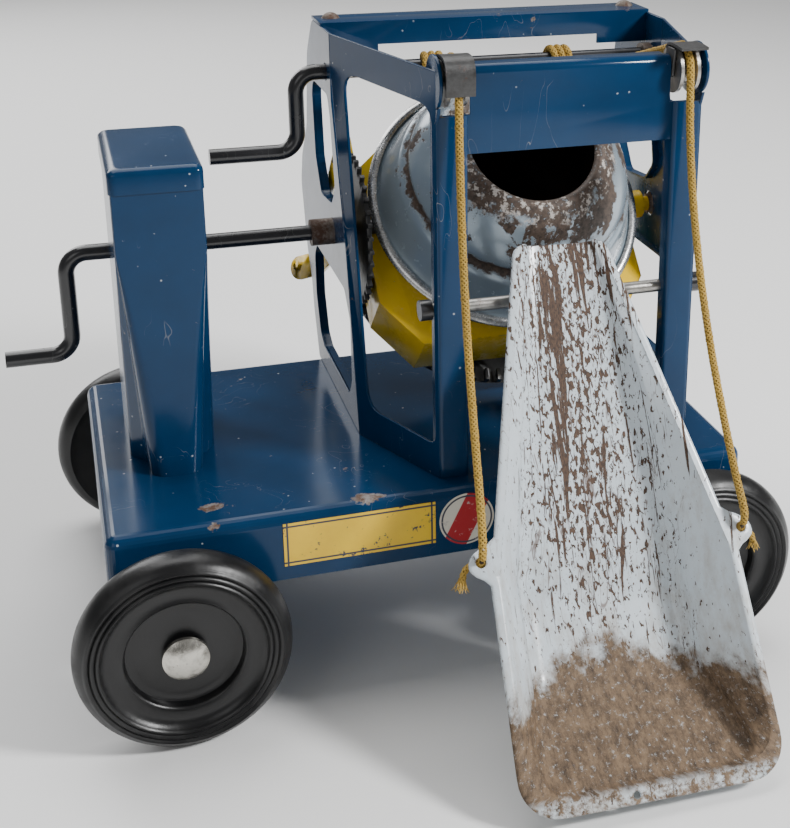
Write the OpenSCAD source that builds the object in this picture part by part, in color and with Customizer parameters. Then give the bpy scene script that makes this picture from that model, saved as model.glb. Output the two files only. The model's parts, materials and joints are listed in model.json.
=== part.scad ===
// Toy cement mixer: pressed-steel base on rubber wheels, an engine housing, a splayed
// sheet frame, a geared tilting drum, and a loading chute hoisted by a windlass and ropes.
// X runs along the base, Y runs to the rear, Z is up. Lengths are in millimetres.

/* [Base] */
// Length of the base tray
base_l = 242; // [230:1:254]
// Width of the base tray
base_w = 140; // [134:1:146]
// Height of the tray's top above the ground
deck_z = 75.5; // [75.5:0.5:76]
// Height of the tray's skirt
skirt_h = 26; // [22:1:28]
// Thickness of the tray's sheet
base_t = 1.2; // [1:0.1:1.6]

/* [Wheels] */
// Diameter of a wheel
wheel_d = 75; // [74:0.5:76]
// Thickness of a wheel
wheel_t = 15; // [14:0.5:16]
// Distance from the middle of the base to an axle
axle_x = 98; // [94:1:100]
// Diameter of an axle
axle_d = 4.8; // [4.5:0.1:5]

/* [Engine housing] */
// Width of the housing along the base
engine_w = 32; // [30:1:33]
// Depth of the housing from front to rear
engine_d = 63; // [60:1:64]
// Height of the housing above the deck
engine_h = 118; // [112:1:122]

/* [Frame] */
// Distance between the outer faces of the frame's side panels
frame_w = 141; // [140:1:142]
// Distance between the outer corners of the front posts
front_w = 100; // [98:1:101]
// Height of the front posts above the deck
post_h = 155; // [152:1:157]
// Thickness of the frame's sheet
frame_t = 1.2; // [1:0.1:1.4]

/* [Drum] */
// Radius of the drum's rolled flange
flange_r = 57; // [56:0.5:57]
// Inside radius of the drum's mouth
mouth_r = 25; // [24:0.5:25]
// Angle of the drum's axis above horizontal at rest
drum_tilt = 44; // [42:1:46]
// Number of teeth on the crank's gear; the crown wheel has twice as many
gear_teeth = 36; // [36:1:36]

/* [Chute] */
// Angle of the chute's rim below horizontal at rest
chute_angle = 52; // [51:0.5:53]
// Length of the chute from its top edge to its lip
chute_l = 197; // [194:1:198]
// Width across the scoop's rim
scoop_w = 95; // [90:1:97]
// Diameter of the rod that the chute hangs on
rod_d = 4.8; // [4.5:0.1:5]

/* [Windlass] */
// Diameter of both cranks
crank_d = 6.3; // [6:0.1:6.5]
// Diameter of a rope
rope_d = 3.2; // [3:0.1:3.4]
// Distance from the frame's middle to each rope pulley
pulley_x = 43; // [42.5:0.5:43.5]

/* [Hidden] */
$fn = 64;

// The row's origin is on the ground under the middle of the whole toy.
mid_x = -7.25;
mid_y = -30;

gap = 0.05;
cx = base_l / 2 - frame_w / 2;
side_x = frame_w / 2;
post_x = front_w / 2;
post_y = -60;
post_top = deck_z + post_h;
beam_z = 199.5;
panel_h = post_h - frame_t;

pivot_y = 28.5;
pivot_z = 147.5;
shaft_r = crank_d / 2;
bush_r = 5.4;
cap_lip = 0.6;
seam_s = 14;
drum_sheet = 0.9;
pan_half = 57;
pan_depth = 24;
gear_r = 30;
gear_x = -10.5 - cx;
crown_r = 60;
crown_s = -32;
spindle_r = 3;

windlass_y = 32;
windlass_z = 212.5;
winding_x = 27;

rod_r = rod_d / 2;
rod_y = -53.5;
rod_z = 141;
chute_x = -0.5;
chute_y = -54;
chute_z = 155;
chute_skew = 1.4;
chute_t = 1;
top_half = 18;
top_depth = 3.2;
lug_s = 105;
lug_out = 4;
scoop_s = 112;
scoop_depth = 27;
floor_end = 145;
lip_r = 14;
top_s = -7.5;
lip_s = top_s + chute_l;
rim_w = 3.6;
lip_w = 7.5;
trough_end = lip_s - lip_w;
lip_drop = 6;
// Reach of each rope ear beyond the rim, by its distance along the slope from the ear's middle.
EAR = [[-7, 0], [-5, 4], [-3, 7.2], [0, 8.2], [3, 7.2], [5, 4], [7, 0]];
STATIONS = concat([top_s, top_s + 4, 12, 20, 45, 70, 90], [for (e = EAR) lug_s + e[0]],
    [120, 128, 145, 158, 168, 174, 178, trough_end, trough_end + 1, trough_end + 2, lip_s - 4, lip_s - 2.5,
    lip_s - 1, lip_s]);

pulley_y = -55.5;
pulley_z = 225;
pulley_r = 8.8;
groove_r = 6;
ear_r = 9.5;
hub_r = 20.5;
post_face = 11.5;
flange_h = 9.5;
beam_rear_y = 39;
beam_rear_w = 19;
pan_bore = 50.5;
slot_z = 213.5;
pulley_pin_r = 1.6;
hood_half = 5.4;
hood_t = 1;
hood_top = 236;
hood_y = -67.2;

rope_sides = 8;
// Centre line of a rope from its winding over its pulley, drawn for the left one.
OVER = [[-31.4, 25.6, 207.8], [-35, 0, 215.9], [-39, -27, 224.5], [-43, -53, 232.8],
    [-43, -55.5, 233.2], [-43, -58.3, 232.7], [-43, -60.8, 231.3], [-43, -62.6, 229.1],
    [-43, -63.6, 226.4], [-43, -63.7, 224]];
// The rest of each rope, down to its ear on the chute.
DOWN_LEFT = [[-43.2, -65, 205], [-43.8, -69, 182], [-45, -77, 155], [-46.5, -88, 130],
    [-48.2, -101, 107], [-50, -113, 90], [-51.2, -119, 81], [-51.4, -119.6, 75.4]];
DOWN_RIGHT = [[43.2, -65, 205], [43.6, -69, 182], [44.2, -77, 155], [44.6, -88, 130],
    [45, -101, 107], [45.2, -113, 89], [45.3, -120.6, 79], [45.2, -121.2, 73.6]];

function lerp(a, b, u) = a + (b - a) * u;
function arc(r, a0, a1, n) = [for (i = [0:n]) r * [cos(lerp(a0, a1, i / n)), sin(lerp(a0, a1, i / n))]];

// --- placing helpers ---
module on_ground() {
    translate([-mid_x, -mid_y, 0]) children();
}

// Children drawn with X = 0 at the frame's middle.
module at_frame() {
    translate([cx, 0, 0]) children();
}

module mirror_x(flip) {
    if (flip) mirror([1, 0, 0]) children();
    else children();
}

// A cylinder along X from x0 to x1 at y, z.
module rod_x(x0, x1, y, z, r) {
    translate([x0, y, z]) rotate([0, 90, 0]) cylinder(r = r, h = x1 - x0);
}

// A cylinder along Y from y0 to y1 at x, z.
module rod_y(y0, y1, x, z, r) {
    translate([x, y0, z]) rotate([-90, 0, 0]) cylinder(r = r, h = y1 - y0);
}

// The drum's own frame: Z along its axis, toward the mouth, origin on the pivot.
module on_drum_axis() {
    translate([0, pivot_y, pivot_z]) rotate([90 - drum_tilt, 0, 0]) children();
}

// The chute's own frame: the rim lies in the XY plane and -Y runs down the slope.
module on_chute() {
    translate([chute_x, chute_y, chute_z]) rotate([chute_angle, 0, 0]) rotate([0, 0, -chute_skew]) children();
}

// --- base ---
// A box with rounded top edges and corners, standing on z = 0.
module rounded_box(l, w, h, r) {
    hull() for (sx = [-1, 1], sy = [-1, 1]) translate([sx * (l / 2 - r), sy * (w / 2 - r), 0]) {
        cylinder(r = r, h = h - r, $fn = 24);
        translate([0, 0, h - r]) sphere(r = r, $fn = 24);
    }
}

module base_tray() {
    color("#153a66") translate([0, 0, deck_z - skirt_h]) difference() {
        rounded_box(base_l, base_w, skirt_h, 4.5);
        translate([0, 0, -base_t]) rounded_box(base_l - 2 * base_t, base_w - 2 * base_t, skirt_h, 3.5);
    }
    color("#153a66") for (sx = [-1, 1], sy = [-1, 1]) {
        translate([sx * axle_x - 5, sy * (base_w / 2 - 5) - 0.6, axle_z() - 5]) difference() {
            cube([10, 1.2, deck_z - base_t - axle_z() + 5]);
            rod_y(-1, 3, 5, 5, axle_d / 2 + gap);
        }
    }
}

function axle_z() = wheel_d / 2;

module label_band() {
    color("#d8b23c") translate([-60, -base_w / 2 - 0.25, deck_z - 20.5]) cube([56, 0.25, 17]);
}

module label_badge() {
    color("#b5252b") rod_y(-base_w / 2 - 0.3, -base_w / 2, 8, deck_z - 12.5, 10.5);
}

// --- engine housing ---
// The housing's solid shape; the front corners fall back toward the foot as two flutes.
module engine_solid(inset, h) {
    w = engine_w - 2 * inset;
    d = engine_d - 2 * inset;
    difference() {
        translate([-w / 2, -d / 2, 0]) cube([w, d, h]);
        for (sx = [-1, 1]) hull() {
            translate([sx * (w / 2 + 1) - 8.5, -d / 2 - 2, -1]) cube([17, 18, 1]);
            translate([sx * (w / 2 + 1) - 3, -d / 2 - 2, 88]) cube([6, 2.1, 1]);
        }
    }
}

module engine_housing() {
    color("#153a66") difference() {
        at_engine() difference() {
            engine_solid(0, engine_h);
            translate([0, 0, -0.5]) engine_solid(base_t, engine_h - 0.7);
        }
        rod_x(-130, -50, pivot_y, pivot_z, shaft_r + gap);
    }
}

module at_engine() {
    translate([-91.75, 3.5, deck_z]) children();
}

module engine_cap() {
    w = engine_w + 2 * cap_lip;
    d = engine_d + 2 * cap_lip;
    color("#153a66") at_engine() translate([0, 0, engine_h - 8]) difference() {
        translate([-w / 2, -d / 2, 0]) cube([w, d, 9]);
        translate([-engine_w / 2 - gap, -engine_d / 2 - gap, -1])
            cube([engine_w + 2 * gap, engine_d + 2 * gap, 9]);
    }
}

// --- frame ---
// Outline of a side panel: X is world Y, Y is height above the deck.
SIDE = [[-14, 0], [70, 0], [79, 20], [82, 34], [90, 45], [99.5, 74], [94, 88], [80, 104],
    [72, 138], [58, panel_h], [22, panel_h], [22, 128], [2, 72]];
UPPER = [[60, 128], [30, 128], [26, 120], [20, 92], [28, 84], [50, 82], [60, 96], [63, 122]];
LOWER = [[8, 54], [66, 54], [71, 48], [71, 30], [64, 14], [56, 10], [4, 10], [-2, 18], [-2, 44]];

// One side of the splayed frame: side panel, diagonal facet with its window, front post.
module frame_side(hole_r) {
    difference() {
        union() {
            translate([-side_x + frame_t, 0, deck_z]) rotate([90, 0, 90]) mirror([0, 0, 1])
                linear_extrude(frame_t) difference() {
                    polygon(SIDE);
                    polygon(UPPER);
                    polygon(LOWER);
                }
            facet_bar([-14, 0], [-14, 13]);
            facet_bar([22, 141], [22, panel_h]);
            facet_column();
            front_post();
        }
        rod_x(-side_x - 2, -side_x + 4, pivot_y, pivot_z, hole_r);
        rod_x(-side_x - 2, -side_x + 4, windlass_y, windlass_z, shaft_r + gap);
        rod_x(-side_x - 2, -post_x + 12, rod_y, rod_z, rod_r + gap);
        rod_x(-side_x, -post_x + 3, pulley_y, pulley_z, pulley_pin_r);
    }
}

// A rail across the facet, from the side panel's bend at [y, z] to the front post.
module facet_bar(lower, upper) {
    h = upper[1] - lower[1];
    hull() {
        translate([-side_x, lower[0], deck_z + lower[1]]) cube([frame_t, 0.8, h]);
        translate([-post_x, post_y + 1, deck_z + lower[1]]) cube([frame_t, 0.8, h]);
    }
}

// The upright strip of the facet beside the bend.
module facet_column() {
    hull() {
        translate([-side_x, -14, deck_z]) cube([frame_t, 0.8, 1]);
        translate([-side_x + 2.6, -20, deck_z]) cube([frame_t, 0.8, 1]);
        translate([-side_x, 2, deck_z + 72]) cube([frame_t, 0.8, 1]);
        translate([-side_x + 1.8, -4, deck_z + 72]) cube([frame_t, 0.8, 1]);
    }
    hull() {
        translate([-side_x, 2, deck_z + 72]) cube([frame_t, 0.8, 1]);
        translate([-side_x + 1.8, -4, deck_z + 72]) cube([frame_t, 0.8, 1]);
        translate([-side_x, 22, deck_z + 141]) cube([frame_t, 0.8, 1]);
        translate([-side_x + 1.6, 16, deck_z + 141]) cube([frame_t, 0.8, 1]);
    }
}

// The front post: a channel, cut away at the top for the pulley, with a round ear on its outer leg.
module front_post() {
    difference() {
        union() {
            translate([-post_x, post_y, deck_z]) cube([post_face, frame_t, post_h]);
            translate([-post_x, post_y, deck_z]) cube([frame_t, 9, post_h]);
            translate([-post_x + post_face - frame_t, post_y, deck_z])
                cube([frame_t, 7, beam_z - deck_z - 1]);
            rod_x(-post_x, -post_x + frame_t, pulley_y, pulley_z, ear_r);
        }
        translate([-post_x + frame_t, post_y - 1, slot_z]) cube([post_face, 14, 40]);
    }
}

module frame_left() {
    color("#153a66") at_frame() frame_side(bush_r - 1.2);
}

module frame_right() {
    color("#153a66") at_frame() mirror([1, 0, 0]) frame_side(bush_r - 1.2);
}

module front_beam() {
    h = post_top - beam_z;
    y = post_y + frame_t;
    color("#153a66") at_frame() difference() {
        union() {
            translate([-post_x + frame_t, y, beam_z]) cube([front_w - 2 * frame_t, frame_t, h - 3]);
            rod_x(-post_x + frame_t, post_x - frame_t, y + 3, post_top - 3, 3);
            translate([-post_x + 14, y + 3, post_top - frame_t]) cube([front_w - 28, 5, frame_t]);
        }
        rod_x(-post_x, post_x, y + 3, post_top - 3, 3 - frame_t);
        translate([-post_x, y + 3, post_top - 8]) cube([front_w, 4, 5 + 3 - frame_t]);
        translate([-post_x, y + frame_t, post_top - 8]) cube([front_w, 3 - frame_t, 5]);
        for (sx = [-1, 1]) translate([sx * (pulley_x + 4) - hood_half - 4 - gap, y - 2, slot_z])
            cube([2 * hood_half + 8 + 2 * gap, 14, 40]);
    }
}

// A channel across the top of the frame; its front flange is deeper at both ends.
module rear_crossbeam() {
    t = frame_t;
    y = beam_rear_y;
    inside = side_x - t - gap;
    color("#153a66") at_frame() difference() {
        union() {
            translate([-side_x, y, post_top - t]) cube([frame_w, beam_rear_w, t]);
            translate([-inside, y, post_top - flange_h]) cube([2 * inside, t, flange_h]);
            for (sx = [-1, 1]) translate([sx * (inside - 11) - 11, y, post_top - flange_h - 4])
                cube([22, t, flange_h]);
            translate([-inside, y + beam_rear_w - t, post_top - flange_h]) cube([2 * inside, t, flange_h]);
        }
        for (sx = [-1, 1]) translate([sx * 64, 51, post_top - 5]) cylinder(r = 2, h = 10);
    }
}

module crossbeam_rivets() {
    color("#7a5a48") at_frame() for (sx = [-1, 1]) translate([sx * 64, 51, post_top]) {
        translate([0, 0, -4]) cylinder(r = 2, h = 4);
        intersection() {
            translate([0, 0, -2]) sphere(r = 4.2, $fn = 32);
            cylinder(r = 5, h = 4);
        }
    }
}

module crank_bush() {
    color("#4b3a33") at_frame() difference() {
        union() {
            rod_x(-side_x - 9, -side_x, pivot_y, pivot_z, bush_r);
            rod_x(-side_x - 0.1, -side_x + frame_t + 1, pivot_y, pivot_z, bush_r - 1.2);
        }
        rod_x(-side_x - 10, -side_x + 6, pivot_y, pivot_z, shaft_r + gap);
    }
}

module trunnion_bush() {
    color("#4b3a33") at_frame() difference() {
        union() {
            rod_x(side_x, side_x + 4, pivot_y, pivot_z, bush_r);
            rod_x(side_x - frame_t - 1, side_x + 0.1, pivot_y, pivot_z, bush_r - 1.2);
        }
        rod_x(side_x - 6, side_x + 6, pivot_y, pivot_z, 4 + gap - 0.8);
    }
}

// --- wheels ---
module axle(sx) {
    color("#8d8f92") rod_y(-93, 93, sx * axle_x, axle_z(), axle_d / 2);
}

module axle_left() {
    axle(-1);
}

module axle_right() {
    axle(1);
}

// Half outline of a wheel: radius along X, thickness along Y, outer face up.
function wheel_profile() = let (r = wheel_d / 2, h = wheel_t / 2)
    concat([[axle_d / 2 + 0.1, -h + 1.5], [r - 8, -h + 1.5], [r - 5, -h]],
        [for (p = arc(5.3, -60, 60, 8)) p + [r - 5.3, 0]],
        [[r - 4.6, h - 0.6], [r - 5.4, h + 0.1], [r - 6.6, h - 0.9], [r - 7.4, h + 0.2], [r - 8.8, h - 0.4],
        [r - 10.5, h - 2.2], [r - 13, h - 3], [hub_r + 1, h - 2.4], [hub_r, h - 3.2], [hub_r - 0.6, h - 6],
        [hub_r - 3, h - 6.4], [axle_d / 2 + 0.1, h - 4.4]]);

module wheel(sx, sy) {
    color("#17181a") translate([sx * axle_x, sy * 84, axle_z()]) rotate([sy * -90, 0, 0])
        rotate_extrude($fn = 96) polygon(wheel_profile());
}

module wheel_front_left() {
    wheel(-1, -1);
}

module wheel_front_right() {
    wheel(1, -1);
}

module wheel_rear_left() {
    wheel(-1, 1);
}

module wheel_rear_right() {
    wheel(1, 1);
}

// A domed push-on cap over an axle's end.
module cap(sx, sy) {
    color("#b9b4a6") translate([sx * axle_x, sy * 89.4, axle_z()]) rotate([sy * -90, 0, 0]) difference() {
        union() {
            cylinder(r = 8, h = 1.4);
            intersection() {
                translate([0, 0, -10.2]) sphere(r = 14.2, $fn = 48);
                translate([0, 0, 1]) cylinder(r = 8, h = 6);
            }
        }
        translate([0, 0, -1]) cylinder(r = axle_d / 2, h = 4.6);
    }
}

module cap_front_left() {
    cap(-1, -1);
}

module cap_front_right() {
    cap(1, -1);
}

module cap_rear_left() {
    cap(-1, 1);
}

module cap_rear_right() {
    cap(1, 1);
}

// --- pulleys ---
// A bent steel strap over each pulley: two cheeks on the pulley's pin, a top, and in front
// an apron that covers the pulley down to z = apron_z.
module pulley_hood(sx, apron_z) {
    color("#3a3a3a") at_frame() translate([sx * pulley_x, 0, 0]) difference() {
        union() {
            translate([-hood_half, pulley_y - 4, pulley_z - 3]) cube([2 * hood_half, 8, 6]);
            translate([-hood_half, pulley_y - 4, pulley_z]) cube([2 * hood_half, 10, hood_top - pulley_z]);
            translate([-hood_half, hood_y, apron_z])
                cube([2 * hood_half, pulley_y - hood_y, hood_top - apron_z]);
        }
        translate([-hood_half + hood_t, hood_y + hood_t, pulley_z - 20])
            cube([2 * (hood_half - hood_t), 50, hood_top - hood_t - pulley_z + 20]);
        rod_x(-10, 10, pulley_y, pulley_z, pulley_pin_r);
    }
}

module pulley_hood_left() {
    pulley_hood(-1, 221.5);
}

module pulley_hood_right() {
    pulley_hood(1, hood_top - 1.5);
}

// The pin runs from outside the post's ear to just past the hood's inner cheek.
module pulley_pin(sx) {
    outer = post_x + 0.6;
    inner = pulley_x - hood_half - 0.6;
    color("#8d8f92") at_frame()
        rod_x(sx > 0 ? inner : -outer, sx > 0 ? outer : -inner, pulley_y, pulley_z, pulley_pin_r);
}

module pulley_pin_left() {
    pulley_pin(-1);
}

module pulley_pin_right() {
    pulley_pin(1);
}

module pulley(sx) {
    h = 3.8;
    color("#6f7073") at_frame() translate([sx * pulley_x, pulley_y, pulley_z]) rotate([0, 90, 0])
        rotate_extrude($fn = 64) polygon([[pulley_pin_r + gap, -h], [pulley_r, -h], [pulley_r, -2.6],
            [groove_r, -1.5], [groove_r, 1.5], [pulley_r, 2.6], [pulley_r, h], [pulley_pin_r + gap, h]]);
}

module pulley_left() {
    pulley(-1);
}

module pulley_right() {
    pulley(1);
}

// --- chute ---
module chute_rod() {
    color("#8d8f92") at_frame() rod_x(-post_x - 3, post_x + 3, rod_y, rod_z, rod_r);
}

module rod_end_caps() {
    color("#1c1d20") at_frame() for (sx = [-1, 1])
        translate([sx * (post_x + 3.1), rod_y, rod_z]) rotate([0, 90, 0]) difference() {
            cylinder(r = rod_r + 1.4, h = 4.4, center = true);
            cylinder(r = rod_r, h = 3.8, center = true);
        }
}

// Half width of the rim at a distance s down the slope.
function rim_half(s) = s < scoop_s ? lerp(top_half, scoop_w / 2 - 1.5, (s - top_s) / (scoop_s - top_s))
    : lerp(scoop_w / 2 - 1.5, scoop_w / 2, (s - scoop_s) / 66);

// How far a round corner of radius r, which ends at s = end, draws the side in at s.
function corner(s, end, r) = r - sqrt(max(0, pow(r, 2) - pow(max(0, s - end + r), 2)));

// Half width out to the sheet's edge: the rim, its rope ears and the round corners of its lip.
function edge_half(s) = rim_half(s) - corner(s, lip_s, lip_r) + lookup(s - lug_s, EAR);

function trough_depth(s) = s < 120 ? lerp(top_depth, scoop_depth, pow((s - top_s) / (120 - top_s), 1.25))
    : s < floor_end ? scoop_depth
    : s < trough_end ? lerp(scoop_depth, lip_drop, pow((s - floor_end) / (trough_end - floor_end), 1.3))
    : max(0, lip_drop - 3 * (s - trough_end));

function trough_half(s) = rim_half(s) - rim_w - corner(s, trough_end + 1, 12);

// The trough from its left top edge to its right one: the sheet's inner face, or t outside it.
function trough_side(s, t) =
    let (d = trough_depth(s), w = trough_half(s), f = w - 0.42 * (d - 1.4 * t), h = min(8, d * 0.7))
    concat([[-w - t, -t]],
        [for (q = arc(1, 205, 270, 4)) [8 * q[0] - f + 7.6, h * q[1] - d - t + h]],
        [for (q = arc(1, 270, 335, 4)) [8 * q[0] + f - 7.6, h * q[1] - d - t + h]],
        [[w + t, -t]]);

function reversed(a) = [for (i = [len(a) - 1:-1:0]) a[i]];

// A cross-section of the pressed sheet, rim and all.
function sheet_ring(s) = let (e = edge_half(s))
    concat([[-e, 0]], trough_side(s, 0), [[e, 0], [e, -chute_t]], reversed(trough_side(s, chute_t)),
        [[-e, -chute_t]]);

// A closed solid through a list of equal rings, each as many points out as it is back.
module loft(rings) {
    n = len(rings[0]);
    m = len(rings);
    pts = [for (r = rings) each r];
    walls = [for (i = [0:m - 2], j = [0:n - 1]) let (k = (j + 1) % n)
        [i * n + k, i * n + j, (i + 1) * n + j, (i + 1) * n + k]];
    ends = [for (j = [0:n / 2 - 2], e = [0, (m - 1) * n]) let (q = [j, j + 1, n - 2 - j, n - 1 - j])
        [for (k = e > 0 ? [3:-1:0] : [0:3]) e + q[k]]];
    polyhedron(points = pts, faces = concat(walls, ends), convexity = 6);
}

module chute_pan() {
    color("#e6e9ea") at_frame() on_chute() difference() {
        loft([for (s = STATIONS) [for (p = reversed(sheet_ring(s))) [p[0], -s, p[1]]]]);
        for (sx = [-1, 1]) translate([sx * (rim_half(lug_s) + lug_out), -lug_s, -3])
            cylinder(r = 1.9, h = 6, $fn = 24);
        translate([-8, -lip_s + 2.8, -3]) cylinder(r = 1.3, h = 6, $fn = 24);
    }
}

module chute_hinge() {
    color("#c9cdce") at_frame() difference() {
        for (sx = [-1, 1]) hinge_ear(sx * 9);
        rod_x(-30, 30, rod_y, rod_z, rod_r + gap);
        on_chute() loft([for (s = [-7, 12, 45])
            [for (p = concat([[-20, 9]], trough_side(s, chute_t), [[20, 9]])) [p[0], -s, p[1]]]]);
    }
}

// A plate ear under the chute's floor, round at the rod.
module hinge_ear(x) {
    rod_x(x - 1.5, x + 1.5, rod_y, rod_z, rod_r + 1.6);
    translate([x, rod_y, rod_z]) rotate([chute_angle, 0, 0]) translate([-1.5, -10, -2]) cube([3, 12, 6]);
}

// --- drum cradle ---
// The pan's outline in the drum's frame: straight sides, cut corners below and above.
function pan_outline(g) = [[-pan_half + g, 26], [-pan_half + g, -34], [-pan_half + 15 + g * 0.4, -54 + g],
    [pan_half - 15 - g * 0.4, -54 + g], [pan_half - g, -34], [pan_half - g, 26],
    [34 - g * 0.4, 46 - g], [-34 + g * 0.4, 46 - g]];

module cradle_pan() {
    t = 1.4;
    color("#e9b21a") at_frame() difference() {
        on_drum_axis() difference() {
            translate([0, 0, -pan_depth - t]) linear_extrude(pan_depth + t) polygon(pan_outline(0));
            translate([0, 0, -pan_depth]) linear_extrude(pan_depth - t) polygon(pan_outline(t));
            translate([0, 0, 3 - pan_depth]) cylinder(r = pan_bore, h = pan_depth);
            translate([0, 0, -pan_depth - 5]) cylinder(r = spindle_r + gap, h = 10);
        }
        rod_x(-pan_half - 5, -pan_half + 4, pivot_y, pivot_z, shaft_r + gap);
        rod_x(pan_half - 4, pan_half + 5, pivot_y, pivot_z, 3.6);
    }
    color("#e9b21a") at_frame() on_drum_axis() translate([-pan_half, 20, -21]) cube([t, 23.5, 20]);
}

// The strap outside the gear: joggled onto the pan's upper corner, round the shaft, then back
// to a handle that is bent outward behind the frame.
module tilt_lever() {
    x = -64.6;
    t = 1.4;
    arm = 79;
    half = 5.5;
    color("#e9b21a") at_frame() difference() {
        union() {
            on_drum_axis() {
                translate([-pan_half - t, 35.5, -21]) cube([t, 8, 20]);
                translate([x, 34.2, -21]) cube([-pan_half - x, t, 20]);
                translate([x, 8, -17]) cube([t, 27.4, 12]);
                rotate([0, 90, 0]) translate([0, 0, x]) cylinder(r = 12, h = t);
            }
            translate([x, pivot_y, pivot_z]) rotate([-28.4, 0, 0]) {
                translate([0, 0, -half]) cube([t, arm, 2 * half]);
                translate([t / 2, arm, -half]) cylinder(r = t / 2, h = 2 * half);
                translate([0, arm, 0]) rotate([0, 0, 40]) {
                    translate([0, 0, -half]) cube([t, 11.5, 2 * half]);
                    translate([0, 11.5, 0]) rotate([0, 90, 0]) cylinder(r = half, h = t);
                }
            }
            rod_x(x - 2.3, x + 0.1, pivot_y, pivot_z, 5.4);
        }
        rod_x(x - 4, x + 4, pivot_y, pivot_z, shaft_r + gap);
        on_drum_axis() rod_x(x - 20, -pan_half + 10, 39.5, -11, 1.5);
    }
}

module lever_rivets() {
    color("#9a8a3c") at_frame() on_drum_axis() {
        rod_x(-pan_half - 1.4, -pan_half, 39.5, -11, 1.5);
        rod_x(-pan_half - 2.4, -pan_half - 1.4, 39.5, -11, 2.6);
    }
}

module cradle_trunnion() {
    color("#e9b21a") at_frame() {
        rod_x(pan_half - 1.4, side_x + 5, pivot_y, pivot_z, 3.2);
        rod_x(pan_half, pan_half + 8, pivot_y, pivot_z, 6);
        rod_x(pan_half - 1.4, pan_half, pivot_y, pivot_z, 3.6);
    }
}

// --- cranks ---
// A quarter bend in the XZ plane between a shaft at z0 and an arm at x, radius r.
module bend(x, z, y, r, quarter) {
    translate([x, y, z]) rotate([90, 0, 0]) rotate([0, 0, quarter * 90])
        rotate_extrude(angle = 90) translate([r, 0]) circle(r = shaft_r, $fn = 32);
}

// A crank: shaft from x1 to x2, arm at arm_x hanging drop below, handle out to handle_x.
module crank(y, z, x2, arm_x, drop, handle_x) {
    r = 8;
    rod_x(arm_x + r, x2, y, z, shaft_r);
    bend(arm_x + r, z - r, y, r, 1);
    translate([arm_x, y, z - drop + r]) cylinder(r = shaft_r, h = drop - 2 * r);
    bend(arm_x - r, z - drop + r, y, r, 3);
    rod_x(handle_x, arm_x - r, y, z - drop, shaft_r);
}

module drum_crank() {
    color("#17181a") crank(pivot_y, pivot_z, cx - pan_half + 4, -124.5, 41, -150);
}

module windlass_crank() {
    color("#17181a") crank(windlass_y, windlass_z, cx + side_x + 4, -32, 31.5, -67);
}

module windlass_collars() {
    color("#4b3a33") at_frame() for (sx = [-1, 1]) difference() {
        translate([sx * (side_x - 4.2), windlass_y, windlass_z]) rotate([0, 90, 0])
            cylinder(r = 5, h = 4, center = true);
        rod_x(-80, 80, windlass_y, windlass_z, shaft_r);
    }
}

module drive_gear() {
    root = gear_r - 1.8;
    color("#1f2023") at_frame() translate([gear_x, pivot_y, pivot_z]) rotate([0, 90, 0]) difference() {
        union() {
            cylinder(r = root, h = 2, center = true);
            for (i = [0:gear_teeth - 1]) rotate([0, 0, 90 - drum_tilt + (i + 0.5) * 360 / gear_teeth])
                translate([root - 0.3, -0.8, -1]) cube([3.1, 1.6, 2]);
        }
        cylinder(r = shaft_r, h = 10, center = true);
    }
}

module crown_wheel() {
    color("#1f2023") at_frame() on_drum_axis() {
        difference() {
            translate([0, 0, crown_s - 1.4]) cylinder(r = crown_r + 2.5, h = 1.4);
            translate([0, 0, crown_s - 2]) cylinder(r = spindle_r, h = 4);
        }
        for (i = [0:2 * gear_teeth - 1]) rotate([0, 0, i * 180 / gear_teeth])
            translate([crown_r - 2.5, -0.8, crown_s - 0.1]) cube([5, 1.6, 3.1]);
    }
}

// --- drum ---
// Outer outline of the front shell: radius and distance along the axis from the pivot.
FRONT = [[54.2, seam_s], [54.2, seam_s + 0.6], [53, seam_s + 0.6], [51.5, 19], [49.2, 28], [46.6, 36],
    [45, 37], [44.4, 39], [45, 41],
    [41, 50], [35.5, 57], [31.4, 61], [29, 62.6]];
// Outer outline of the rear shell.
REAR = [[54.2, seam_s], [54.2, seam_s - 0.6], [53, seam_s - 0.6], [49.5, 9], [49, 0], [47.5, -10],
    [43, -17], [36, -20]];

module drum_front() {
    color("#b4bcc4") at_frame() on_drum_axis() rotate_extrude($fn = 96)
        polygon(concat(FRONT, [[26.8, 63], [mouth_r, 61.8], [mouth_r, 60.4], [26.8, 60.2], [30, 59.4]],
            [for (i = [9:-1:3]) FRONT[i] - [drum_sheet, 0.3]], [[51.8, seam_s]]));
}

module drum_rear() {
    color("#b4bcc4") at_frame() on_drum_axis() difference() {
        rotate_extrude($fn = 96) polygon(concat([[0, -20]], [for (i = [7:-1:0]) REAR[i]], [[51.8, seam_s]],
            [for (i = [3:6]) REAR[i] - [drum_sheet, -0.3]], [[36, -19.1], [0, -19.1]]));
        translate([0, 0, -25]) cylinder(r = spindle_r, h = 10);
    }
}

// The rolled band that clamps the two shells' flanges together.
module drum_band() {
    color("#cfd3d6") at_frame() on_drum_axis() rotate_extrude($fn = 96)
        polygon([[53.5, seam_s - 1.8], [55.2, seam_s - 1.8], [flange_r, seam_s - 1], [flange_r, seam_s + 1],
            [55.2, seam_s + 1.8], [53.5, seam_s + 1.8], [53.5, seam_s + 0.6], [54.2, seam_s + 0.6],
            [54.2, seam_s - 0.6], [53.5, seam_s - 0.6]]);
}

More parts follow.
